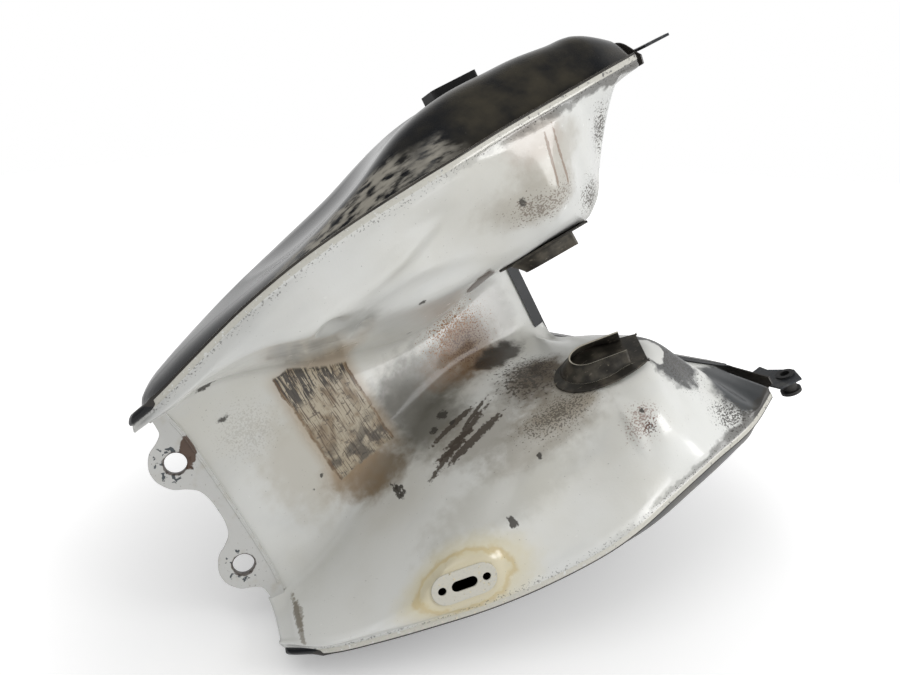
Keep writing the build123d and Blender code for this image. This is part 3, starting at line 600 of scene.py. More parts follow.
def collarMesh(name, middle, profile, axes, count=48):
    # a turned ring; the profile is a closed list of (radius, height)
    origin, along, across, out = (Vector(axis) for axis in axes)
    mesh = bmesh.new()
    rows = []
    for i in range(count):
        angle = 2 * math.pi * i / count
        way = along * math.cos(angle) + across * math.sin(angle)
        centre = origin + along * middle[0] + across * middle[1]
        row = [mesh.verts.new((centre + way * r + out * h) * mm) for r, h in profile]
        rows.append(row + row[:1])
    stitch(mesh, rows + rows[:1])
    bmesh.ops.recalc_face_normals(mesh, faces=mesh.faces)
    return pieceOf(name, mesh)


def beadMesh(name, path, radius, count=8):
    # a thin round bead along a path in millimetres
    mesh = bmesh.new()
    rows = []
    for k, point in enumerate(path):
        before, after = Vector(path[max(k - 1, 0)]), Vector(path[min(k + 1, len(path) - 1)])
        way = (after - before).normalized()
        side = way.orthogonal().normalized()
        over = way.cross(side)
        thick = radius * (0.2 if k in (0, len(path) - 1) else 1.0)
        turns = [2 * math.pi * i / count for i in range(count)]
        ways = [side * math.cos(t) + over * math.sin(t) for t in turns]
        rows.append([mesh.verts.new((Vector(point) + round * thick) * mm) for round in ways])
    for a, b in zip(rows, rows[1:]):
        for i in range(count):
            mesh.faces.new((a[i], a[(i + 1) % count], b[(i + 1) % count], b[i]))
    mesh.faces.new(rows[0])
    mesh.faces.new(rows[-1][::-1])
    bmesh.ops.recalc_face_normals(mesh, faces=mesh.faces)
    return pieceOf(name, mesh)


def buildEars():
    half = earPlate["outline"]
    outline = half + [(x, -y) for x, y in half[:0:-1]]
    axes = ((0, 0, 0), (1, 0, 0), (0, 1, 0), (0, 0, 1))
    holes = [ring((0, side * earPlate["earY"]), earPlate["hole"] + 0.7) for side in (1, -1)]
    thickness = earPlate["thickness"]
    plate = plateMesh("plate", [smoothLoop(outline)] + holes, thickness, earPlate["edge"], axes)
    inner = earPlate["hole"]
    outer = inner + earPlate["rimWall"]
    top = earPlate["rimHeight"]
    profile = [(outer + 0.9, thickness), (outer + 0.9, 0.5), (outer + 0.1, -0.02),
               (inner + 0.8, 0.15), (inner + 0.15, 0.8), (inner, 2.0), (inner, top - 0.4),
               (inner + 0.4, top), (outer - 0.4, top), (outer, top - 0.4),
               (outer, thickness + 0.6)]
    collars = [collarMesh("collar", (0, side * earPlate["earY"]), profile, axes) for side in (1, -1)]
    front = [(x - earPlate["beadInset"], y, 0.0) for x, y in half[-4:]]
    front += [(x, -y, z) for x, y, z in reversed(front)]
    bead = beadMesh("bead", smoothPath(front), earPlate["bead"])
    return joined("earedPlate", [plate] + collars + [bead])


earedPlate = buildEars()
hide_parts("rear_mount_plate")
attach(earedPlate, "root")
print("eared plate cut:", len(earedPlate.data.vertices), "points")


tapSeat = buildTapSeat()
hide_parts("tap_plate")
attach(tapSeat, "root")


# the damper seats: a plate on the tunnel wall and a horseshoe rail on it, open towards the front
seat = {
    "origin": (302.0, 54.0, -12.0),
    "along": (0.9249, 0.0745, -0.3727),
    "across": (0.3801, -0.1814, 0.907),
    "out": (0.0, -0.9806, -0.1961),
    "outline": [(70.5, -27.5), (56.0, -35.5), (38.0, -40.5), (20.0, -40.0), (5.0, -34.0),
                (-5.0, -22.0), (-7.0, -7.0), (-1.0, 8.0), (13.0, 17.5), (32.0, 21.5), (54.0, 21.0),
                (72.6, 17.6), (73.0, 14.0), (71.0, -24.0)],
    "edge": 0.5,
    "thickness": 1.8,
    "lift": 0.4,
    "railMiddle": -3.5,
    "railHalf": 17.0,
    "railRear": 28.0,
    "railFront": 58.0,
    "railHeight": 11.0,
    "railWall": 1.4,
    "flare": 9.0,
    "flareFront": 2.5,
    "narrowFrom": 34.0,
    "legSteps": 14,
    "bendSteps": 26,
}


def seatAxes(side):
    turn = Vector((1, side, 1))
    return [Vector(seat[key]) * turn for key in ("origin", "along", "across", "out")]


def railPath():
    # stations along the horseshoe from the lower leg's front end to the upper leg's, with the way out
    path = []
    straight, bend = seat["legSteps"], seat["bendSteps"]
    for i in range(straight):
        u = seat["railFront"] - (seat["railFront"] - seat["railRear"]) * i / straight
        path.append((u, seat["railMiddle"], 0.0, -1.0))
    for i in range(bend + 1):
        angle = math.pi * i / bend
        path.append((seat["railRear"], seat["railMiddle"], -math.sin(angle), -math.cos(angle)))
    for i in range(1, straight + 1):
        u = seat["railRear"] + (seat["railFront"] + 1.0 - seat["railRear"]) * i / straight
        path.append((u, seat["railMiddle"], 0.0, 1.0))
    return path


def buildSeat(side):
    axes = seatAxes(side)
    origin, along, across, out = axes
    loop = smoothLoop(seat["outline"])
    base = (origin + out * seat["lift"], along, across, out)
    plate = plateMesh("seatPlate", [loop], seat["thickness"], seat["edge"], base)
    rows = []
    floor = seat["lift"] + seat["thickness"]
    for u, v, du, dv in railPath():
        front = smoothStep(seat["narrowFrom"], seat["railFront"], u)
        flare = seat["flare"] * (1 - front) + seat["flareFront"] * front
        profile = [(flare + 2.2, 0.1), (flare + 0.6, 0.25), (flare - 0.6, 1.3), (flare * 0.72, 3.2),
                   (flare * 0.40, 6.0), (flare * 0.16, 8.6), (0.3, 10.2), (0.0, seat["railHeight"])]
        row = []
        for offset, height in profile:
            reach = seat["railHalf"] + offset
            point = origin + along * (u + du * reach) + across * (v + dv * reach)
            row.append(tuple(point + out * (floor + height)))
        rows.append(row)
    rail = sheetMesh("seatRail", [(rows, side > 0, 0.0)], seat["railWall"])
    return plate, rail


seats = []
for side, word in ((1, "left"), (-1, "right")):
    seatPlate, seatRail = buildSeat(side)
    seatPlate.name = "damperPlate_" + word
    seatRail.name = "damperRail_" + word
    for piece, node in ((seatPlate, "damper_seat_" + word), (seatRail, "damper_rail_" + word)):
        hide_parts(node)
        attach(piece, "root")
        seats.append(piece)
print("damper seats made:", len(seats), "pieces")


# finishes, built from noises and soft patches laid in the tank's own millimetres
def addNode(tree, kind, inputs=None, **settings):
    made = tree.nodes.new("ShaderNode" + kind)
    for key, value in settings.items():
        setattr(made, key, value)
    for key, value in (inputs or {}).items():
        if isinstance(value, bpy.types.NodeSocket):
            tree.links.new(value, made.inputs[key])
        else:
            made.inputs[key].default_value = value
    return made


def nodeOn(values, kind, inputs, **settings):
    # a node in the tree of the first socket among the values
    socket = next(value for value in values if isinstance(value, bpy.types.NodeSocket))
    return addNode(socket.id_data, kind, inputs, **settings)


socketNames = {"colour": "Base Color", "roughness": "Roughness", "normal": "Normal"}


def startFinish(name):
    material = bpy.data.materials.new(name)
    material.use_nodes = True
    tree = material.node_tree
    where = addNode(tree, "TexCoord").outputs["Object"]
    return material, tree, tree.nodes["Principled BSDF"], where


def grain(where, size, detail=3.0, warp=0.0, stretch=None):
    # a noise whose grain is a size in millimetres, drawn out along an axis if asked
    if stretch:
        where = nodeOn([where], "Mapping", {"Vector": where, "Scale": stretch}).outputs[0]
    inputs = {"Vector": where, "Scale": 1000.0 / size, "Detail": detail, "Distortion": warp}
    return nodeOn([where], "TexNoise", inputs).outputs[0]


def fade(value, start, end, top=1.0):
    # from 0 at start to top at end
    inputs = {"Value": value, "From Min": start, "From Max": end, "To Min": 0.0, "To Max": top}
    return nodeOn([value], "MapRange", inputs, interpolation_type="SMOOTHSTEP").outputs[0]


def sums(kind, a, b):
    return nodeOn([a, b], "Math", {0: a, 1: b}, operation=kind).outputs[0]


def times(a, b):
    return sums("MULTIPLY", a, b)


def plus(a, b):
    return sums("ADD", a, b)


def sizeOf(value):
    return sums("ABSOLUTE", value, 0)


def around(value):
    # a noise shifted to lie on both sides of nothing
    return sums("SUBTRACT", value, 0.5)


def between(value, low, high):
    return nodeOn([value], "MapRange", {"Value": value, "To Min": low, "To Max": high}).outputs[0]


def baseCoat(tree, colour):
    coat = addNode(tree, "RGB").outputs[0]
    coat.default_value = (*colour, 1)
    return coat


def feed(shader, **values):
    # links nodes into the shader's sockets
    for name, value in values.items():
        shader.id_data.links.new(value, shader.inputs[socketNames[name]])


def embossed(shader, strength, distance, height):
    inputs = {"Strength": strength, "Distance": distance * mm, "Height": height}
    feed(shader, normal=nodeOn([height], "Bump", inputs).outputs[0])


def laid(under, colour, mask, strength=None):
    # one colour over another where the mask is
    if strength is not None:
        mask = times(mask, strength)
    over = colour if isinstance(colour, bpy.types.NodeSocket) else (*colour, 1.0)
    return nodeOn([under], "Mix", {0: mask, 6: under, 7: over}, data_type="RGBA").outputs[2]


def farFrom(where, middle, size, towards=(1, 0, 0)):
    # 0 at the middle of a patch and 1 at its border
    inputs = {"Vector": where, "Location": Vector(middle) * mm, "Rotation": turnTowards(towards),
              "Scale": Vector(size) * mm}
    local = nodeOn([where], "Mapping", inputs, vector_type="TEXTURE").outputs[0]
    return nodeOn([local], "VectorMath", {0: local}, operation="LENGTH").outputs["Value"]


def patchMask(where, mark, ragged, specks):
    # a soft haze, or specks that crowd towards the middle where the mark has a grain
    far = farFrom(where, mark["at"], mark["size"], mark.get("towards", (1, 0, 0)))
    if mark.get("small"):
        ragged = specks["crumble"]
    if mark.get("specks"):
        crowd = fade(far, 1.0, 0.0, 0.27)
        crowded = fade(plus(specks[mark["specks"]], crowd), 0.67, 0.78, mark["strength"])
        return times(crowded, fade(far, 1.05, 0.75))
    amount = mark.get("ragged", 0.9)
    far = plus(far, times(ragged, amount))
    border = 1.7 if mark.get("small") else 1.0 + amount * 0.5
    return fade(far, border, border - mark["soft"], mark["strength"])


def hazeMark(at, size, colour, strength, soft, more=None):
    mark = {"at": at, "size": size, "colour": colour, "strength": strength, "soft": soft}
    return mark | (more or {})


def speckMark(at, size, specks, colour, strength):
    return {"at": at, "size": size, "specks": specks, "colour": colour, "strength": strength}


def strokeMark(start, end, width, colour, strength):
    a, b = Vector(start), Vector(end)
    return {"at": (a + b) / 2, "size": ((b - a).length / 2, width, width), "towards": b - a,
            "colour": colour, "strength": strength, "soft": 0.5, "ragged": 2.6, "small": True}


rust = (0.27, 0.115, 0.030)
soot = (0.030, 0.024, 0.018)
# grey-green of the tunnel: dust, partly painted shade of the concave tunnel
tunnelDustAndShade = (0.115, 0.108, 0.088)
sand = (0.42, 0.37, 0.27)
# dirt, wear and some painted shade on the underside, in the tank's millimetres
# hazes: middle, half sizes, colour, strength, softness and anything else
hazes = [
    ((85, 12, 20), (42, 46, 20), sand, 0.45, 0.9),
    # the next two: tunnel dust, partly painted shade in the concave tunnel
    ((186, 30, 30), (46, 48, 48), tunnelDustAndShade, 0.85, 0.85, {"ragged": 0.5}),
    ((206, 14, 52), (60, 30, 20), tunnelDustAndShade, 0.65, 0.85),
    ((210, 55, -20), (42, 16, 34), (0.17, 0.135, 0.085), 0.5, 0.9),
    # painted shade in the right wall's pressed hollow
    ((150, -88, -60), (30, 18, 30), (0.33, 0.33, 0.31), 0.55, 0.9),
    # partly grey dirt, partly painted shade over the concave middle of the left lobe
    ((200, 88, -70), (70, 20, 24), (0.46, 0.45, 0.40), 0.6, 0.9),
    ((346, -124, -94), (40, 16, 14), (0.40, 0.36, 0.29), 0.5, 0.9),
    ((252, 70, -58), (55, 14, 30), (0.30, 0.27, 0.22), 0.6, 0.9),
    ((126, 48, 24), (30, 24, 22), (0.16, 0.105, 0.045), 0.8, 0.9),
    ((268, 10, 64), (34, 26, 26), (0.15, 0.09, 0.035), 0.85, 0.85),
    ((290, 54, 10), (26, 14, 26), (0.11, 0.075, 0.035), 0.9, 0.85),
    ((286, 64, -40), (44, 16, 24), (0.24, 0.19, 0.12), 0.6, 0.9),
    ((300, 0, 80), (26, 40, 14), (0.36, 0.35, 0.33), 0.55, 0.9),
    ((252, 20, 62), (46, 24, 20), (0.20, 0.11, 0.045), 0.6, 0.9),
    ((278, 50, 0), (30, 12, 34), (0.13, 0.10, 0.065), 0.8, 0.9),
    ((110, 44, 24), (26, 22, 20), (0.27, 0.17, 0.075), 0.5, 0.9),
    ((283, 31, 60), (26, 9, 15), soot, 0.9, 0.5, {"towards": (1, 0.1, 0.35)}),
    ((315, -100, -90), (48, 18, 16), (0.36, 0.32, 0.25), 0.5, 0.9),
    ((270, -55, -25), (9, 12, 30), (0.07, 0.04, 0.025), 0.95, 0.3),
    ((330, -140, -98), (26, 16, 10), (0.45, 0.36, 0.30), 0.45, 0.9),
    ((382, 74, -42), (19, 34, 27), (0.075, 0.077, 0.078), 0.95, 0.35),
    # dark front steel, partly painted shade in the concave valley before the left lobe's front
    ((446, 142, -45), (46, 40, 45), (0.040, 0.045, 0.050), 0.97, 0.22, {"ragged": 0.35}),
]
# specks: middle, half sizes, grain, colour, strength
specksLaid = [
    ((258, -4, 66), (62, 50, 44), "fine", rust, 0.95),
    ((262, 8, 66), (44, 30, 30), "fine", (0.09, 0.045, 0.025), 0.95),
    ((278, 45, 4), (46, 24, 76), "mid", (0.06, 0.048, 0.036), 0.9),
    ((290, 50, 18), (36, 24, 40), "fine", (0.05, 0.038, 0.028), 0.95),
    ((270, 66, -50), (60, 24, 30), "fine", (0.10, 0.085, 0.065), 0.8),
    ((384, 86, -52), (36, 52, 30), "fine", (0.07, 0.065, 0.06), 0.9),
    ((400, 140, -76), (30, 34, 24), "fine", (0.07, 0.065, 0.06), 0.9),
    ((321, 97, -92), (10, 14, 9), "fine", (0.10, 0.10, 0.10), 0.95),
    ((318, 88, -88), (30, 40, 14), "fine", (0.18, 0.06, 0.03), 0.6),
    ((374, -78, -60), (30, 26, 26), "fine", (0.10, 0.085, 0.07), 0.9),
    ((402, -115, -62), (22, 48, 26), "fine", (0.10, 0.09, 0.08), 0.9),
    ((320, -95, -88), (60, 22, 18), "fine", (0.14, 0.10, 0.07), 0.7),
    ((60, -40, 12), (50, 40, 20), "fine", (0.30, 0.27, 0.21), 0.25),
]
# scratches, combed marks, runs and painted crease shade: start, end, half width
strokes = [
    ((226, 47, -1), (170, 62.0, -18), 2.7), ((222, 43, 10), (184, 50, 6), 2.2),
    ((232, 52.6, -16), (184, 60.5, -22), 3.0), ((209, 52, -10), (186, 54.5, -8), 2.2),
    ((233, 44, 8), (205, 50, -4), 1.6), ((196, 56, -14), (172, 58, -12), 2.2),
]
# painted shade: dark lines along the crease at the rear flange's step
creaseShadeLines = [((18.5, 92, -14), (17.5, 96.5, -64), 1.6), ((19, 92, -20), (18, 95, -48), 2.6)]
combs = [((130.6, 63.4, 5.8), (131, 68.9, -9.7), 1.5), ((133.4, 63.2, 4.2), (133.2, 68.2, -9.6), 1.4),
         ((136.7, 62.9, 1.9), (135.9, 67.2, -9.4), 1.2)]
# spots: middle, half sizes
chips = [
    ((200.2, 39.4, 24.2), (3.6, 3.0, 3.6)), ((185.4, 44.8, 16.7), (2.6, 2.2, 2.6)),
    ((202.2, 45.1, 9.4), (2.2, 2.0, 2.2)), ((190.1, 100.6, -88.5), (2.6, 3.6, 3.6)),
    ((46.7, -86.8, 7.1), (4.6, 2.0, 2.2)), ((54.5, -88.0, 5.5), (2.4, 2.0, 2.0)),
    ((238, 79.7, -65.4), (1.8, 1.8, 1.8)), ((210.4, -35.8, 30.7), (2.0, 1.8, 1.4)),
    ((214.9, -69.9, -53.4), (2.2, 2.0, 2.0)), ((132.2, 64.2, 2.4), (1.3, 1.3, 1.3)),
    ((323, 84, -86), (1.6, 2.4, 1.6)), ((86, 28, 21), (1.6, 1.6, 1.6)),
    ((75, 34, 18), (1.2, 1.2, 1.2)), ((48, -58, 10), (5.0, 1.6, 2.0)),
    ((306, -106, -88), (2.4, 3.0, 2.0)),
]
drips = [((346, -139, -98), (345, -96, -87), 1.0), ((338, -140, -98), (334, -104, -94), 0.9),
         ((352, -136, -97), (352, -112, -90), 0.8), ((300, -126, -99), (296, -112, -95), 0.8)]


glue = {
    "middle": (123, -12, 33),
    "half": (29, 51, 60),
    "lean": -15.4,
    "turn": -3,
    "halo": (0.36, 0.23, 0.10),
    "rest": (0.46, 0.40, 0.29),
    "brown": (0.20, 0.13, 0.065),
    "lines": (0.11, 0.075, 0.05),
    "cross": (0.09, 0.07, 0.055),
    "torn": (0.035, 0.03, 0.028),
    "soot": (0.06, 0.05, 0.04),
    "border": (0.17, 0.09, 0.035),
}


def gluePatch(where, colour, ragged):
    # the sticky rest of a pad on the ceiling: pale, ruled along its long sides, black where it tore
    inputs = {"Vector": where, "Location": Vector(glue["middle"]) * mm,
              "Scale": Vector(glue["half"]) * mm,
              "Rotation": (0, math.radians(glue["lean"]), math.radians(glue["turn"]))}
    local = nodeOn([where], "Mapping", inputs, vector_type="TEXTURE").outputs[0]
    parts = nodeOn([local], "SeparateXYZ", {0: local}).outputs
    across = plus(parts[0], times(ragged, 0.22))
    along = plus(parts[1], times(ragged, 0.16))
    flat = fade(sizeOf(parts[2]), 0.10, 0.05)
    inside = times(fade(sizeOf(across), 1.06, 1.0),
                  fade(sizeOf(along), 1.05, 1.0))
    inside = times(inside, flat)
    halo = times(fade(sizeOf(parts[0]), 1.45, 0.9),
                fade(sizeOf(parts[1]), 1.25, 0.85))
    colour = laid(colour, glue["halo"], halo, 0.55)
    colour = laid(colour, glue["rest"], inside, 0.85)
    upper = times(fade(parts[1], -0.30, -0.50), inside)
    # colour, grain, the fade's ends, where it lies and its strength
    layers = (
        ("brown", (420.0, 4.0, 0.6), (0.44, 0.66), inside, 0.75),
        ("lines", (230.0, 6.0, 0.3, (5.0, 0.5, 1.0)), (0.52, 0.62), inside, 0.85),
        ("cross", (300.0, 5.0, 0.8, (1.6, 5.0, 1.0)), (0.56, 0.66), inside, 0.7),
        ("torn", (260.0, 5.0, 0.8, (3.0, 0.7, 1.0)), (0.47, 0.53), upper, 0.9),
    )
    for name, settings, ends, place, strength in layers:
        mask = times(fade(grain(local, *settings), *ends), place)
        colour = laid(colour, glue[name], mask, strength)
    low = times(fade(parts[1], 0.15, 0.8), inside)
    low = times(low, fade(grain(where, 12.0), 0.42, 0.6))
    colour = laid(colour, glue["soot"], low, 0.8)
    border = times(inside, fade(sizeOf(across), 0.93, 0.98))
    return laid(colour, glue["border"], border, 0.55)


halo = {
    "middle": (137, 113, -98),
    "half": (34, 19, 16),
    "towards": (1, 0.27, 0),
    "wash": (0.66, 0.56, 0.27),
    "inner": (0.66, 0.60, 0.44),
    "border": (0.52, 0.36, 0.11),
}


def tapHalo(where, colour, ragged):
    # fuel that dried yellow round the tap's seat, darkest along its border
    far = farFrom(where, halo["middle"], halo["half"], halo["towards"])
    far = plus(far, times(ragged, 0.5))
    wash = times(fade(far, 2.1, 0.8), 0.65)
    colour = laid(colour, halo["wash"], wash)
    inner = fade(far, 1.02, 0.92)
    colour = laid(colour, halo["inner"], inner, 0.8)
    border = times(fade(far, 1.28, 1.12), fade(far, 0.96, 1.08))
    return laid(colour, halo["border"], border, 0.4)


paint = {
    "base": (0.74, 0.745, 0.72),
    "warm": (0.60, 0.585, 0.52),
    "cool": (0.62, 0.63, 0.62),
    "bare": (0.72, 0.72, 0.69),
    "seamDirt": (0.055, 0.050, 0.043),
    "scratch": (0.055, 0.038, 0.026),
    "comb": (0.05, 0.045, 0.04),
    "run": (0.24, 0.16, 0.11),
    # painted shade for the crease at the rear flange's step
    "creaseShade": (0.20, 0.17, 0.125),
    "coat": (0.45, 0.10),
    "grimeFrom": (0.20, 0.43),
    "grimeWidth": 7.0,
}


def undersidePaint():
    material, tree, shader, where = startFinish("undersidePaint")
    ragged = around(grain(where, 9.0, 5.0))
    specks = {"fine": grain(where, 1.5, 2.0), "mid": grain(where, 2.8, 4.0),
              "crumble": around(grain(where, 3.2, 4.0))}
    clouds = grain(where, 120.0, 4.0)
    colour = baseCoat(tree, paint["base"])
    colour = laid(colour, paint["warm"], fade(clouds, 0.42, 0.68, 0.6))
    smears = grain(where, 45.0, 5.0, 0.0, (0.4, 1.0, 1.0))
    colour = laid(colour, paint["cool"], fade(smears, 0.52, 0.75, 0.5))

    def marked(colour, marks):
        for mark in marks:
            colour = laid(colour, mark["colour"], patchMask(where, mark, ragged, specks))
        return colour

    colour = marked(colour, [hazeMark(*row) for row in hazes])
    colour = gluePatch(where, colour, ragged)
    colour = tapHalo(where, colour, ragged)
    colour = marked(colour, [speckMark(*row) for row in specksLaid])
    # scratches, combs and runs, then painted shade along the rear flange's crease
    for rows, tint, strength in ((strokes, paint["scratch"], 0.92), (combs, paint["comb"], 0.95),
                                 (drips, paint["run"], 0.75), (creaseShadeLines, paint["creaseShade"], 0.7)):
        colour = marked(colour, [strokeMark(*row, tint, strength) for row in rows])
    spot = {"ragged": 2.4, "small": True}
    colour = marked(colour, [hazeMark(at, size, soot, 0.9, 0.5, spot) for at, size in chips])
    bare = hazeMark((371, 64, -46), (6, 7, 9), paint["bare"], 0.95, 0.3, {"ragged": 2.0})
    colour = marked(colour, [bare])
    # along the seam: cream flange, dark joint and grime that widens towards the front
    reach = addNode(tree, "Attribute", attribute_name="reach").outputs["Fac"]
    forward = fade(addNode(tree, "SeparateXYZ", {0: where}).outputs[0], *paint["grimeFrom"])
    edge = sums("SUBTRACT", reach, times(forward, paint["grimeWidth"]))
    edge = plus(edge, times(ragged, 16.0))
    dirt = times(fade(edge, 8.0, 4.0), times(forward, 0.8))
    crowded = plus(specks["fine"], fade(reach, 13, 4, 0.16))
    dirt = plus(dirt, times(fade(crowded, 0.72, 0.78), 0.6))
    colour = laid(colour, paint["seamDirt"], addNode(tree, "Clamp", {0: dirt}).outputs[0])
    cream = times(fade(reach, 4.4, 3.8), fade(specks["mid"], 0.66, 0.60))
    colour = laid(colour, paint["warm"], cream, 0.9)
    feed(shader, colour=colour)
    tone = addNode(tree, "RGBToBW", {0: colour}).outputs[0]
    gloss = fade(tone, 0.08, 0.55)
    rough = between(gloss, 0.60, 0.24)
    feed(shader, roughness=plus(rough, times(ragged, 0.15)))
    weight, coatRoughness = paint["coat"]
    shader.inputs["Coat Weight"].default_value = weight
    shader.inputs["Coat Roughness"].default_value = coatRoughness
    relief = plus(grain(where, 2.4, 3.0), times(grain(where, 22.0, 2.0), 3.0))
    embossed(shader, 0.10, 0.6, relief)
    return material


ears = {
    "base": (0.62, 0.62, 0.60),
    "dusty": (0.50, 0.47, 0.40),
    "chip": (0.030, 0.042, 0.052),
    "bore": (0.07, 0.05, 0.04),
    "blotch": (0.09, 0.045, 0.025),
    "speck": (0.12, 0.09, 0.06),
    "coat": 0.2,
}


def earPaint():
    material, tree, shader, where = startFinish("earPaint")
    ragged = around(grain(where, 5.0, 5.0))
    fine = grain(where, 2.2, 4.0)
    colour = baseCoat(tree, ears["base"])
    dusty = fade(grain(where, 14.0, 5.0), 0.5, 0.75, 0.6)
    colour = laid(colour, ears["dusty"], dusty)
    for side, gain in ((-1, 0.21), (1, 0.15)):
        far = farFrom(where, (-2, side * earPlate["earY"], 0), (19, 19, 30))
        crowd = times(fade(far, 1.15, 0.45), gain)
        chipsHere = fade(plus(grain(where, 4.5, 5.0, 0.6), crowd), 0.71, 0.75, 0.92)
        colour = laid(colour, ears["chip"], chipsHere)
        bore = farFrom(where, (0, side * earPlate["earY"], 2), (9.2, 9.2, 30))
        bore = plus(bore, times(ragged, 0.3))
        colour = laid(colour, ears["bore"], fade(bore, 1.06, 0.99, 0.85))
    more = {"towards": (-0.5, 1, 0), "ragged": 1.6}
    blotch = hazeMark((12, -52, 0), (8, 3.4, 9), ears["blotch"], 0.95, 0.3, more)
    colour = laid(colour, blotch["colour"], patchMask(where, blotch, ragged, {}))
    colour = laid(colour, ears["speck"], fade(fine, 0.66, 0.72, 0.6))
    feed(shader, colour=colour, roughness=between(fine, 0.3, 0.6))
    shader.inputs["Coat Weight"].default_value = ears["coat"]
    tone = addNode(tree, "RGBToBW", {0: colour}).outputs[0]
    embossed(shader, 0.35, 0.5, tone)
    return material


lacquer = {
    "base": (0.011, 0.012, 0.014),
    "dust": (0.060, 0.052, 0.036),
    "scuffs": (200, 152, -92),
    "scuffHalf": (84, 24, 30),
    "worn": (0.38, 0.355, 0.30),
    "speck": (0.16, 0.15, 0.13),
    "joint": (0.05, 0.045, 0.04),
    "specular": 0.35,
}


def skinPaint():
    # black lacquer, dusty brown over the front bulges and scuffed grey along the lower flank
    material, tree, shader, where = startFinish("skinPaint")
    ragged = around(grain(where, 22.0, 5.0))
    fine = grain(where, 2.4, 4.0)
    parts = addNode(tree, "SeparateXYZ", {0: where}).outputs
    colour = baseCoat(tree, lacquer["base"])
    low = fade(parts[2], 0.01, -0.055)
    forward = fade(plus(parts[0], times(ragged, 0.08)), 0.22, 0.30)
    dust = times(times(low, forward), fade(grain(where, 30.0, 5.0), 0.3, 0.7))
    colour = laid(colour, lacquer["dust"], dust, 0.85)
    for side in (1, -1):
        middle = Vector(lacquer["scuffs"]) * Vector((1, side, 1))
        scuff = farFrom(where, middle, lacquer["scuffHalf"], (1, side * 0.16, -0.10))
        scuff = plus(scuff, times(ragged, 0.9))
        scratched = fade(grain(where, 5.0, 5.0, 0.0, (0.35, 1, 1)), 0.36, 0.62)
        worn = times(fade(scuff, 1.1, 0.55), scratched)
        colour = laid(colour, lacquer["worn"], worn, 0.92)
    colour = laid(colour, lacquer["speck"], fade(fine, 0.70, 0.78, 0.35))
    reach = addNode(tree, "Attribute", attribute_name="reach").outputs["Fac"]
    joint = fade(plus(reach, times(ragged, 4.0)), 5.4, 4.6)
    colour = laid(colour, lacquer["joint"], joint, 0.85)
    feed(shader, colour=colour)
    tone = addNode(tree, "RGBToBW", {0: colour}).outputs[0]
    matt = times(forward, 0.22)
    matt = plus(fade(tone, 0.02, 0.2, 0.35), matt)
    feed(shader, roughness=plus(matt, times(ragged, 0.08)))
    shader.inputs["Specular IOR Level"].default_value = lacquer["specular"]
    relief = plus(fine, times(grain(where, 60.0, 3.0), 2.0))
    embossed(shader, 0.12, 0.6, relief)
    return material


def plainFinish(name, base, grains, layers, roughness, metallic=0.0, relief=None):
    # a base with layers over it, each a grain's number, the fade's ends, a colour and a strength;
    # roughness is a grain's number and two ends, relief a strength, a depth and each grain's share
    material, tree, shader, where = startFinish(name)
    noises = [grain(where, *settings) for settings in grains]
    colour = baseCoat(tree, base)
    for number, start, end, tint, strength in layers:
        colour = laid(colour, tint, fade(noises[number], start, end, strength))
    number, low, high = roughness
    feed(shader, colour=colour, roughness=between(noises[number], low, high))
    shader.inputs["Metallic"].default_value = metallic
    if relief:
        strength, depth, first, second = relief
        height = plus(times(noises[0], first), times(noises[1], second))
        embossed(shader, strength, depth, height)
    return material


def shaded(colour, amount):
    return tuple(c * amount for c in colour)


def flangeEdge():
    # cut edges of the white pressings, cream with bare and rusty places
    layers = [(0, 0.55, 0.66, (0.16, 0.13, 0.10), 0.85)]
    return plainFinish("flangeEdge", (0.58, 0.555, 0.47), [(7.0, 5.0)], layers, (0, 0.35, 0.7))


def wornSteel(name, dark, dusty, share, roughness):
    # sooty pressed steel with dust lying on it
    layers = [(0, 0.62 - share * 0.3, 0.72, dusty, 0.85), (1, 0.62, 0.72, shaded(dusty, 2.6), 0.5)]
    return plainFinish(name, dark, [(14.0, 6.0), (2.5, 4.0, 0.0, (0.4, 1, 1))], layers,
                       (0, roughness - 0.15, roughness + 0.15), 0.25, (0.4, 0.6, 1.0, 0.4))


def moulded(name, colour, dust, roughness, size):
    # rubber or plastic with a fine grain and dust in it
    layers = [(1, 0.5, 0.78, dust, 0.5), (0, 0.62, 0.75, shaded(dust, 1.8), 0.3)]
    return plainFinish(name, colour, [(size, 3.0), (20.0, 5.0)], layers,
                       (1, roughness - 0.1, roughness + 0.12), 0.0, (0.3, 0.4, 1.0, 0.0))


def brushed(name, colour, roughness, size):
    # turned or brushed metal with fingermarks
    layers = [(0, 0.35, 0.7, shaded(colour, 0.6), 0.5), (1, 0.58, 0.8, (0.10, 0.09, 0.075), 0.4)]
    return plainFinish(name, colour, [(size, 3.0, 0.0, (1.0, 14.0, 1.0)), (18.0, 5.0)], layers,
                       (1, roughness - 0.08, roughness + 0.2), 1.0, (0.15, 0.2, 1.0, 0.0))


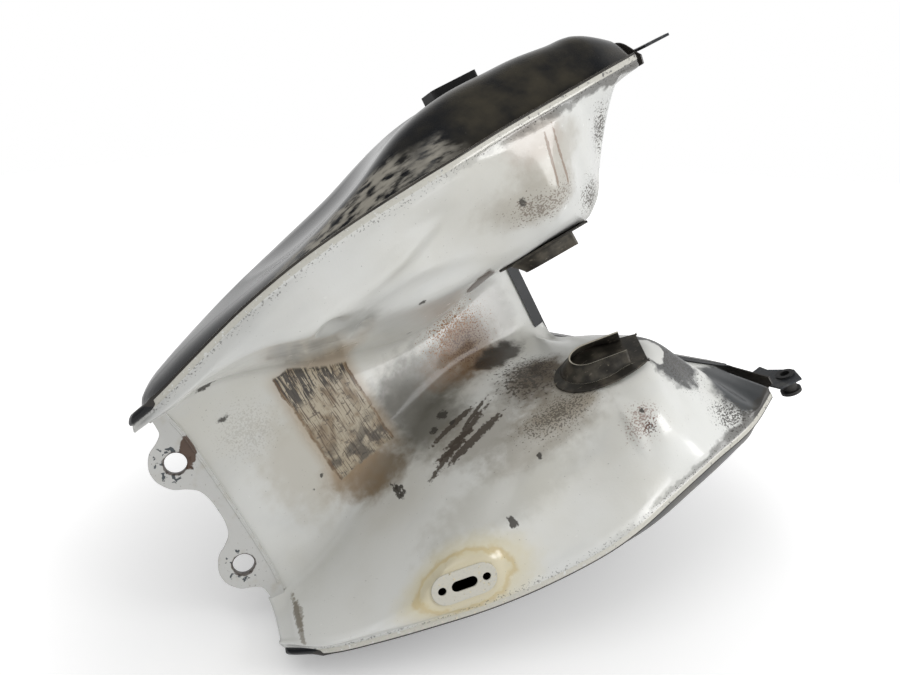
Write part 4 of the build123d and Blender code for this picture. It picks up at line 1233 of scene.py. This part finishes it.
finishes = {
    "underside": undersidePaint(),
    "ears": earPaint(),
    "edge": flangeEdge(),
    "skin": skinPaint(),
    "seat": wornSteel("sootySteel", (0.028, 0.025, 0.020), (0.125, 0.110, 0.085), 0.7, 0.45),
    "bareEdge": wornSteel("bareEdge", (0.62, 0.58, 0.47), (0.30, 0.26, 0.19), 0.25, 0.4),
    "tab": wornSteel("darkTab", (0.030, 0.033, 0.038), (0.10, 0.10, 0.095), 0.4, 0.45),
    "tank": wornSteel("innerSteel", (0.30, 0.30, 0.28), (0.22, 0.20, 0.16), 0.4, 0.45),
    "trim": moulded("trimPlastic", (0.020, 0.022, 0.025), (0.05, 0.05, 0.05), 0.45, 0.9),
    "rubber": moulded("rubber", (0.014, 0.014, 0.015), (0.06, 0.055, 0.045), 0.55, 1.2),
    "cap": brushed("capMetal", (0.62, 0.62, 0.61), 0.28, 2.0),
    "bolt": brushed("boltSteel", (0.42, 0.42, 0.43), 0.32, 1.2),
}


def finish(piece, *names):
    piece.data.materials.clear()
    for name in names:
        piece.data.materials.append(finishes[name])


finish(underside, "underside", "edge")
finish(outerSkin, "skin", "edge")
finish(earedPlate, "ears", "edge")
for piece in seats:
    finish(piece, "seat", "bareEdge")

finish(tapSeat, "underside", "edge")
nodeFinishes = {
    "skin": ["front_panel", "filler_dish"],
    "tank": ["slosh_baffle"],
    "trim": ["lip_trim_left", "lip_trim_right", "lip_trim_middle"],
    "tab": ["front_tab_left", "front_tab_right"],
    "rubber": ["tab_bush_left", "side_pad_left", "side_pad_right", "neck_gasket", "lid_seal"],
    "cap": ["cap_ring", "cap_lid", "key_cover", "latch_guide"],
    "bolt": ["hinge_pin", "cap_bolts", "cover_rivet", "lock_barrel", "latch_bolt"],
}
for name, nodes in nodeFinishes.items():
    for node in nodes:
        finish(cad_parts[node], name)
print("finishes mixed:", len(finishes))


# camera, floor and lights, in metres apart from the floor's gap
stage = {
    "location": (0.10840, -0.17042, -0.55106),
    "right": (0.83681, 0.45102, -0.31038),
    "up": (0.50399, -0.85603, 0.11489),
    "back": (-0.21388, -0.25257, -0.94364),
    "lens": 28.0,
    "sensor": 36.0,
    "nearest": 0.01,
    "gravity": (-0.40, 0.89, 0.22),
    "floorColour": (0.90, 0.90, 0.90),
    # glow near and far; the weaker glow near the tank is a painted shadow round it
    "floorGlow": (0.24, 0.62),
    "floorRoughness": 0.8,
    "glowFrom": (0.25, 0.55),
    "floorSize": 3.0,
    "worldStrength": 0.66,
    "mirrored": 0.80,
    "bright": (0.0, 0.9, 0.3),
    "middle": (0.25, 0.0, 0.0),
    "floorGap": 1.5,
    "overhead": 3.6,
    "overheadSize": 1.0,
    "overheadWay": (1.2, 0.5, -0.5),  # upwards, back and to the right
    "key": 2.1,
    "keySize": 0.35,
    "keyPlace": (0.78, 0.08, -0.55),
    "worldFade": (-0.60, 0.10),
    "diffuseRise": (0.25, 0.85),
    "glossyRise": (0.85, 0.15),
}


def buildCamera():
    data = bpy.data.cameras.new("camera")
    data.lens = stage["lens"]
    data.sensor_width = stage["sensor"]
    data.clip_start = stage["nearest"]
    camera = linked("camera", data)
    turn = Matrix([stage[key] for key in ("right", "up", "back")]).transposed().to_4x4()
    camera.matrix_world = Matrix.Translation(stage["location"]) @ turn
    bpy.context.scene.camera = camera


def lowestAlong(direction):
    # how far the tank reaches along a direction
    reach = -1e9
    for piece in (underside, outerSkin):
        for vertex in piece.data.vertices:
            reach = max(reach, vertex.co.dot(direction))
    return reach


def buildFloor():
    down = Vector(stage["gravity"]).normalized()
    reach = lowestAlong(down) + stage["floorGap"] * mm
    across = down.orthogonal().normalized()
    along = down.cross(across)
    centre = Vector(stage["middle"])
    middle = down * reach + centre - down * down.dot(centre)
    size = stage["floorSize"]
    signs = ((-1, -1), (1, -1), (1, 1), (-1, 1))
    corners = [middle + across * size * a + along * size * b for a, b in signs]
    data = bpy.data.meshes.new("floor")
    data.from_pydata([tuple(c) for c in corners], [], [(0, 1, 2, 3)])
    floor = linked("floor", data)
    if data.polygons[0].normal.dot(down) > 0:
        data.flip_normals()
    material, tree, shader, where = startFinish("floorPaper")
    shader.inputs["Base Color"].default_value = (*stage["floorColour"], 1)
    shader.inputs["Roughness"].default_value = stage["floorRoughness"]
    seen = addNode(tree, "LightPath").outputs["Is Camera Ray"]
    shader.inputs["Emission Color"].default_value = (1, 1, 1, 1)
    # the glow is weaker close to the tank, a painted shadow that darkens the floor round it
    nearGlow, farGlow = stage["floorGlow"]
    far = addNode(tree, "VectorMath", {0: where, 1: tuple(middle)}, operation="DISTANCE")
    rise = fade(far.outputs["Value"], *stage["glowFrom"], farGlow - nearGlow)
    glow = plus(rise, nearGlow)
    tree.links.new(times(seen, glow), shader.inputs["Emission Strength"])
    # the paper is clear from below, so that it never hides the tank
    clear = addNode(tree, "BsdfTransparent").outputs[0]
    under = addNode(tree, "NewGeometry").outputs["Backfacing"]
    cover = addNode(tree, "MixShader", {0: under, 1: shader.outputs[0], 2: clear})
    tree.links.new(cover.outputs[0], tree.nodes["Material Output"].inputs["Surface"])
    data.materials.append(material)


def buildLamp(name, place, aim, size, power):
    data = bpy.data.lights.new(name, "AREA")
    data.energy = power
    data.size = size
    lamp = linked(name, data)
    lamp.location = place
    lamp.rotation_euler = (Vector(aim) - Vector(place)).to_track_quat("-Z", "Y").to_euler()


def buildLight():
    world = bpy.data.worlds.new("studio")
    bpy.context.scene.world = world
    world.use_nodes = True
    tree = world.node_tree
    background = tree.nodes["Background"]
    background.inputs["Color"].default_value = (1, 1, 1, 1)
    rays = addNode(tree, "LightPath").outputs
    towards = addNode(tree, "TexCoord").outputs["Generated"]
    facing = addNode(tree, "VectorMath", {0: towards, 1: stage["bright"]}, operation="DOT_PRODUCT")
    lit = fade(facing.outputs["Value"], *stage["worldFade"])
    diffuse, glossy = [times(plus(times(lit, stage[rise][0]), stage[rise][1]), stage[most])
                       for rise, most in (("diffuseRise", "worldStrength"), ("glossyRise", "mirrored"))]
    mixed = addNode(tree, "Mix", {0: rays["Is Glossy Ray"], 2: diffuse, 3: glossy}).outputs[0]
    white = sums("MAXIMUM", rays["Is Camera Ray"], rays["Is Transmission Ray"])
    tree.links.new(sums("MAXIMUM", white, mixed), background.inputs["Strength"])
    middle = Vector(stage["middle"])
    ways = (-Vector(stage["gravity"]).normalized(), Vector(stage["back"]), Vector(stage["right"]))
    above = middle.copy()
    for way, length in zip(ways, stage["overheadWay"]):
        above += way * length
    buildLamp("overhead", above, middle, stage["overheadSize"], stage["overhead"])
    buildLamp("key", Vector(stage["keyPlace"]), middle, stage["keySize"], stage["key"])


buildCamera()
buildFloor()
buildLight()
bpy.context.scene.view_settings.view_transform = "Standard"
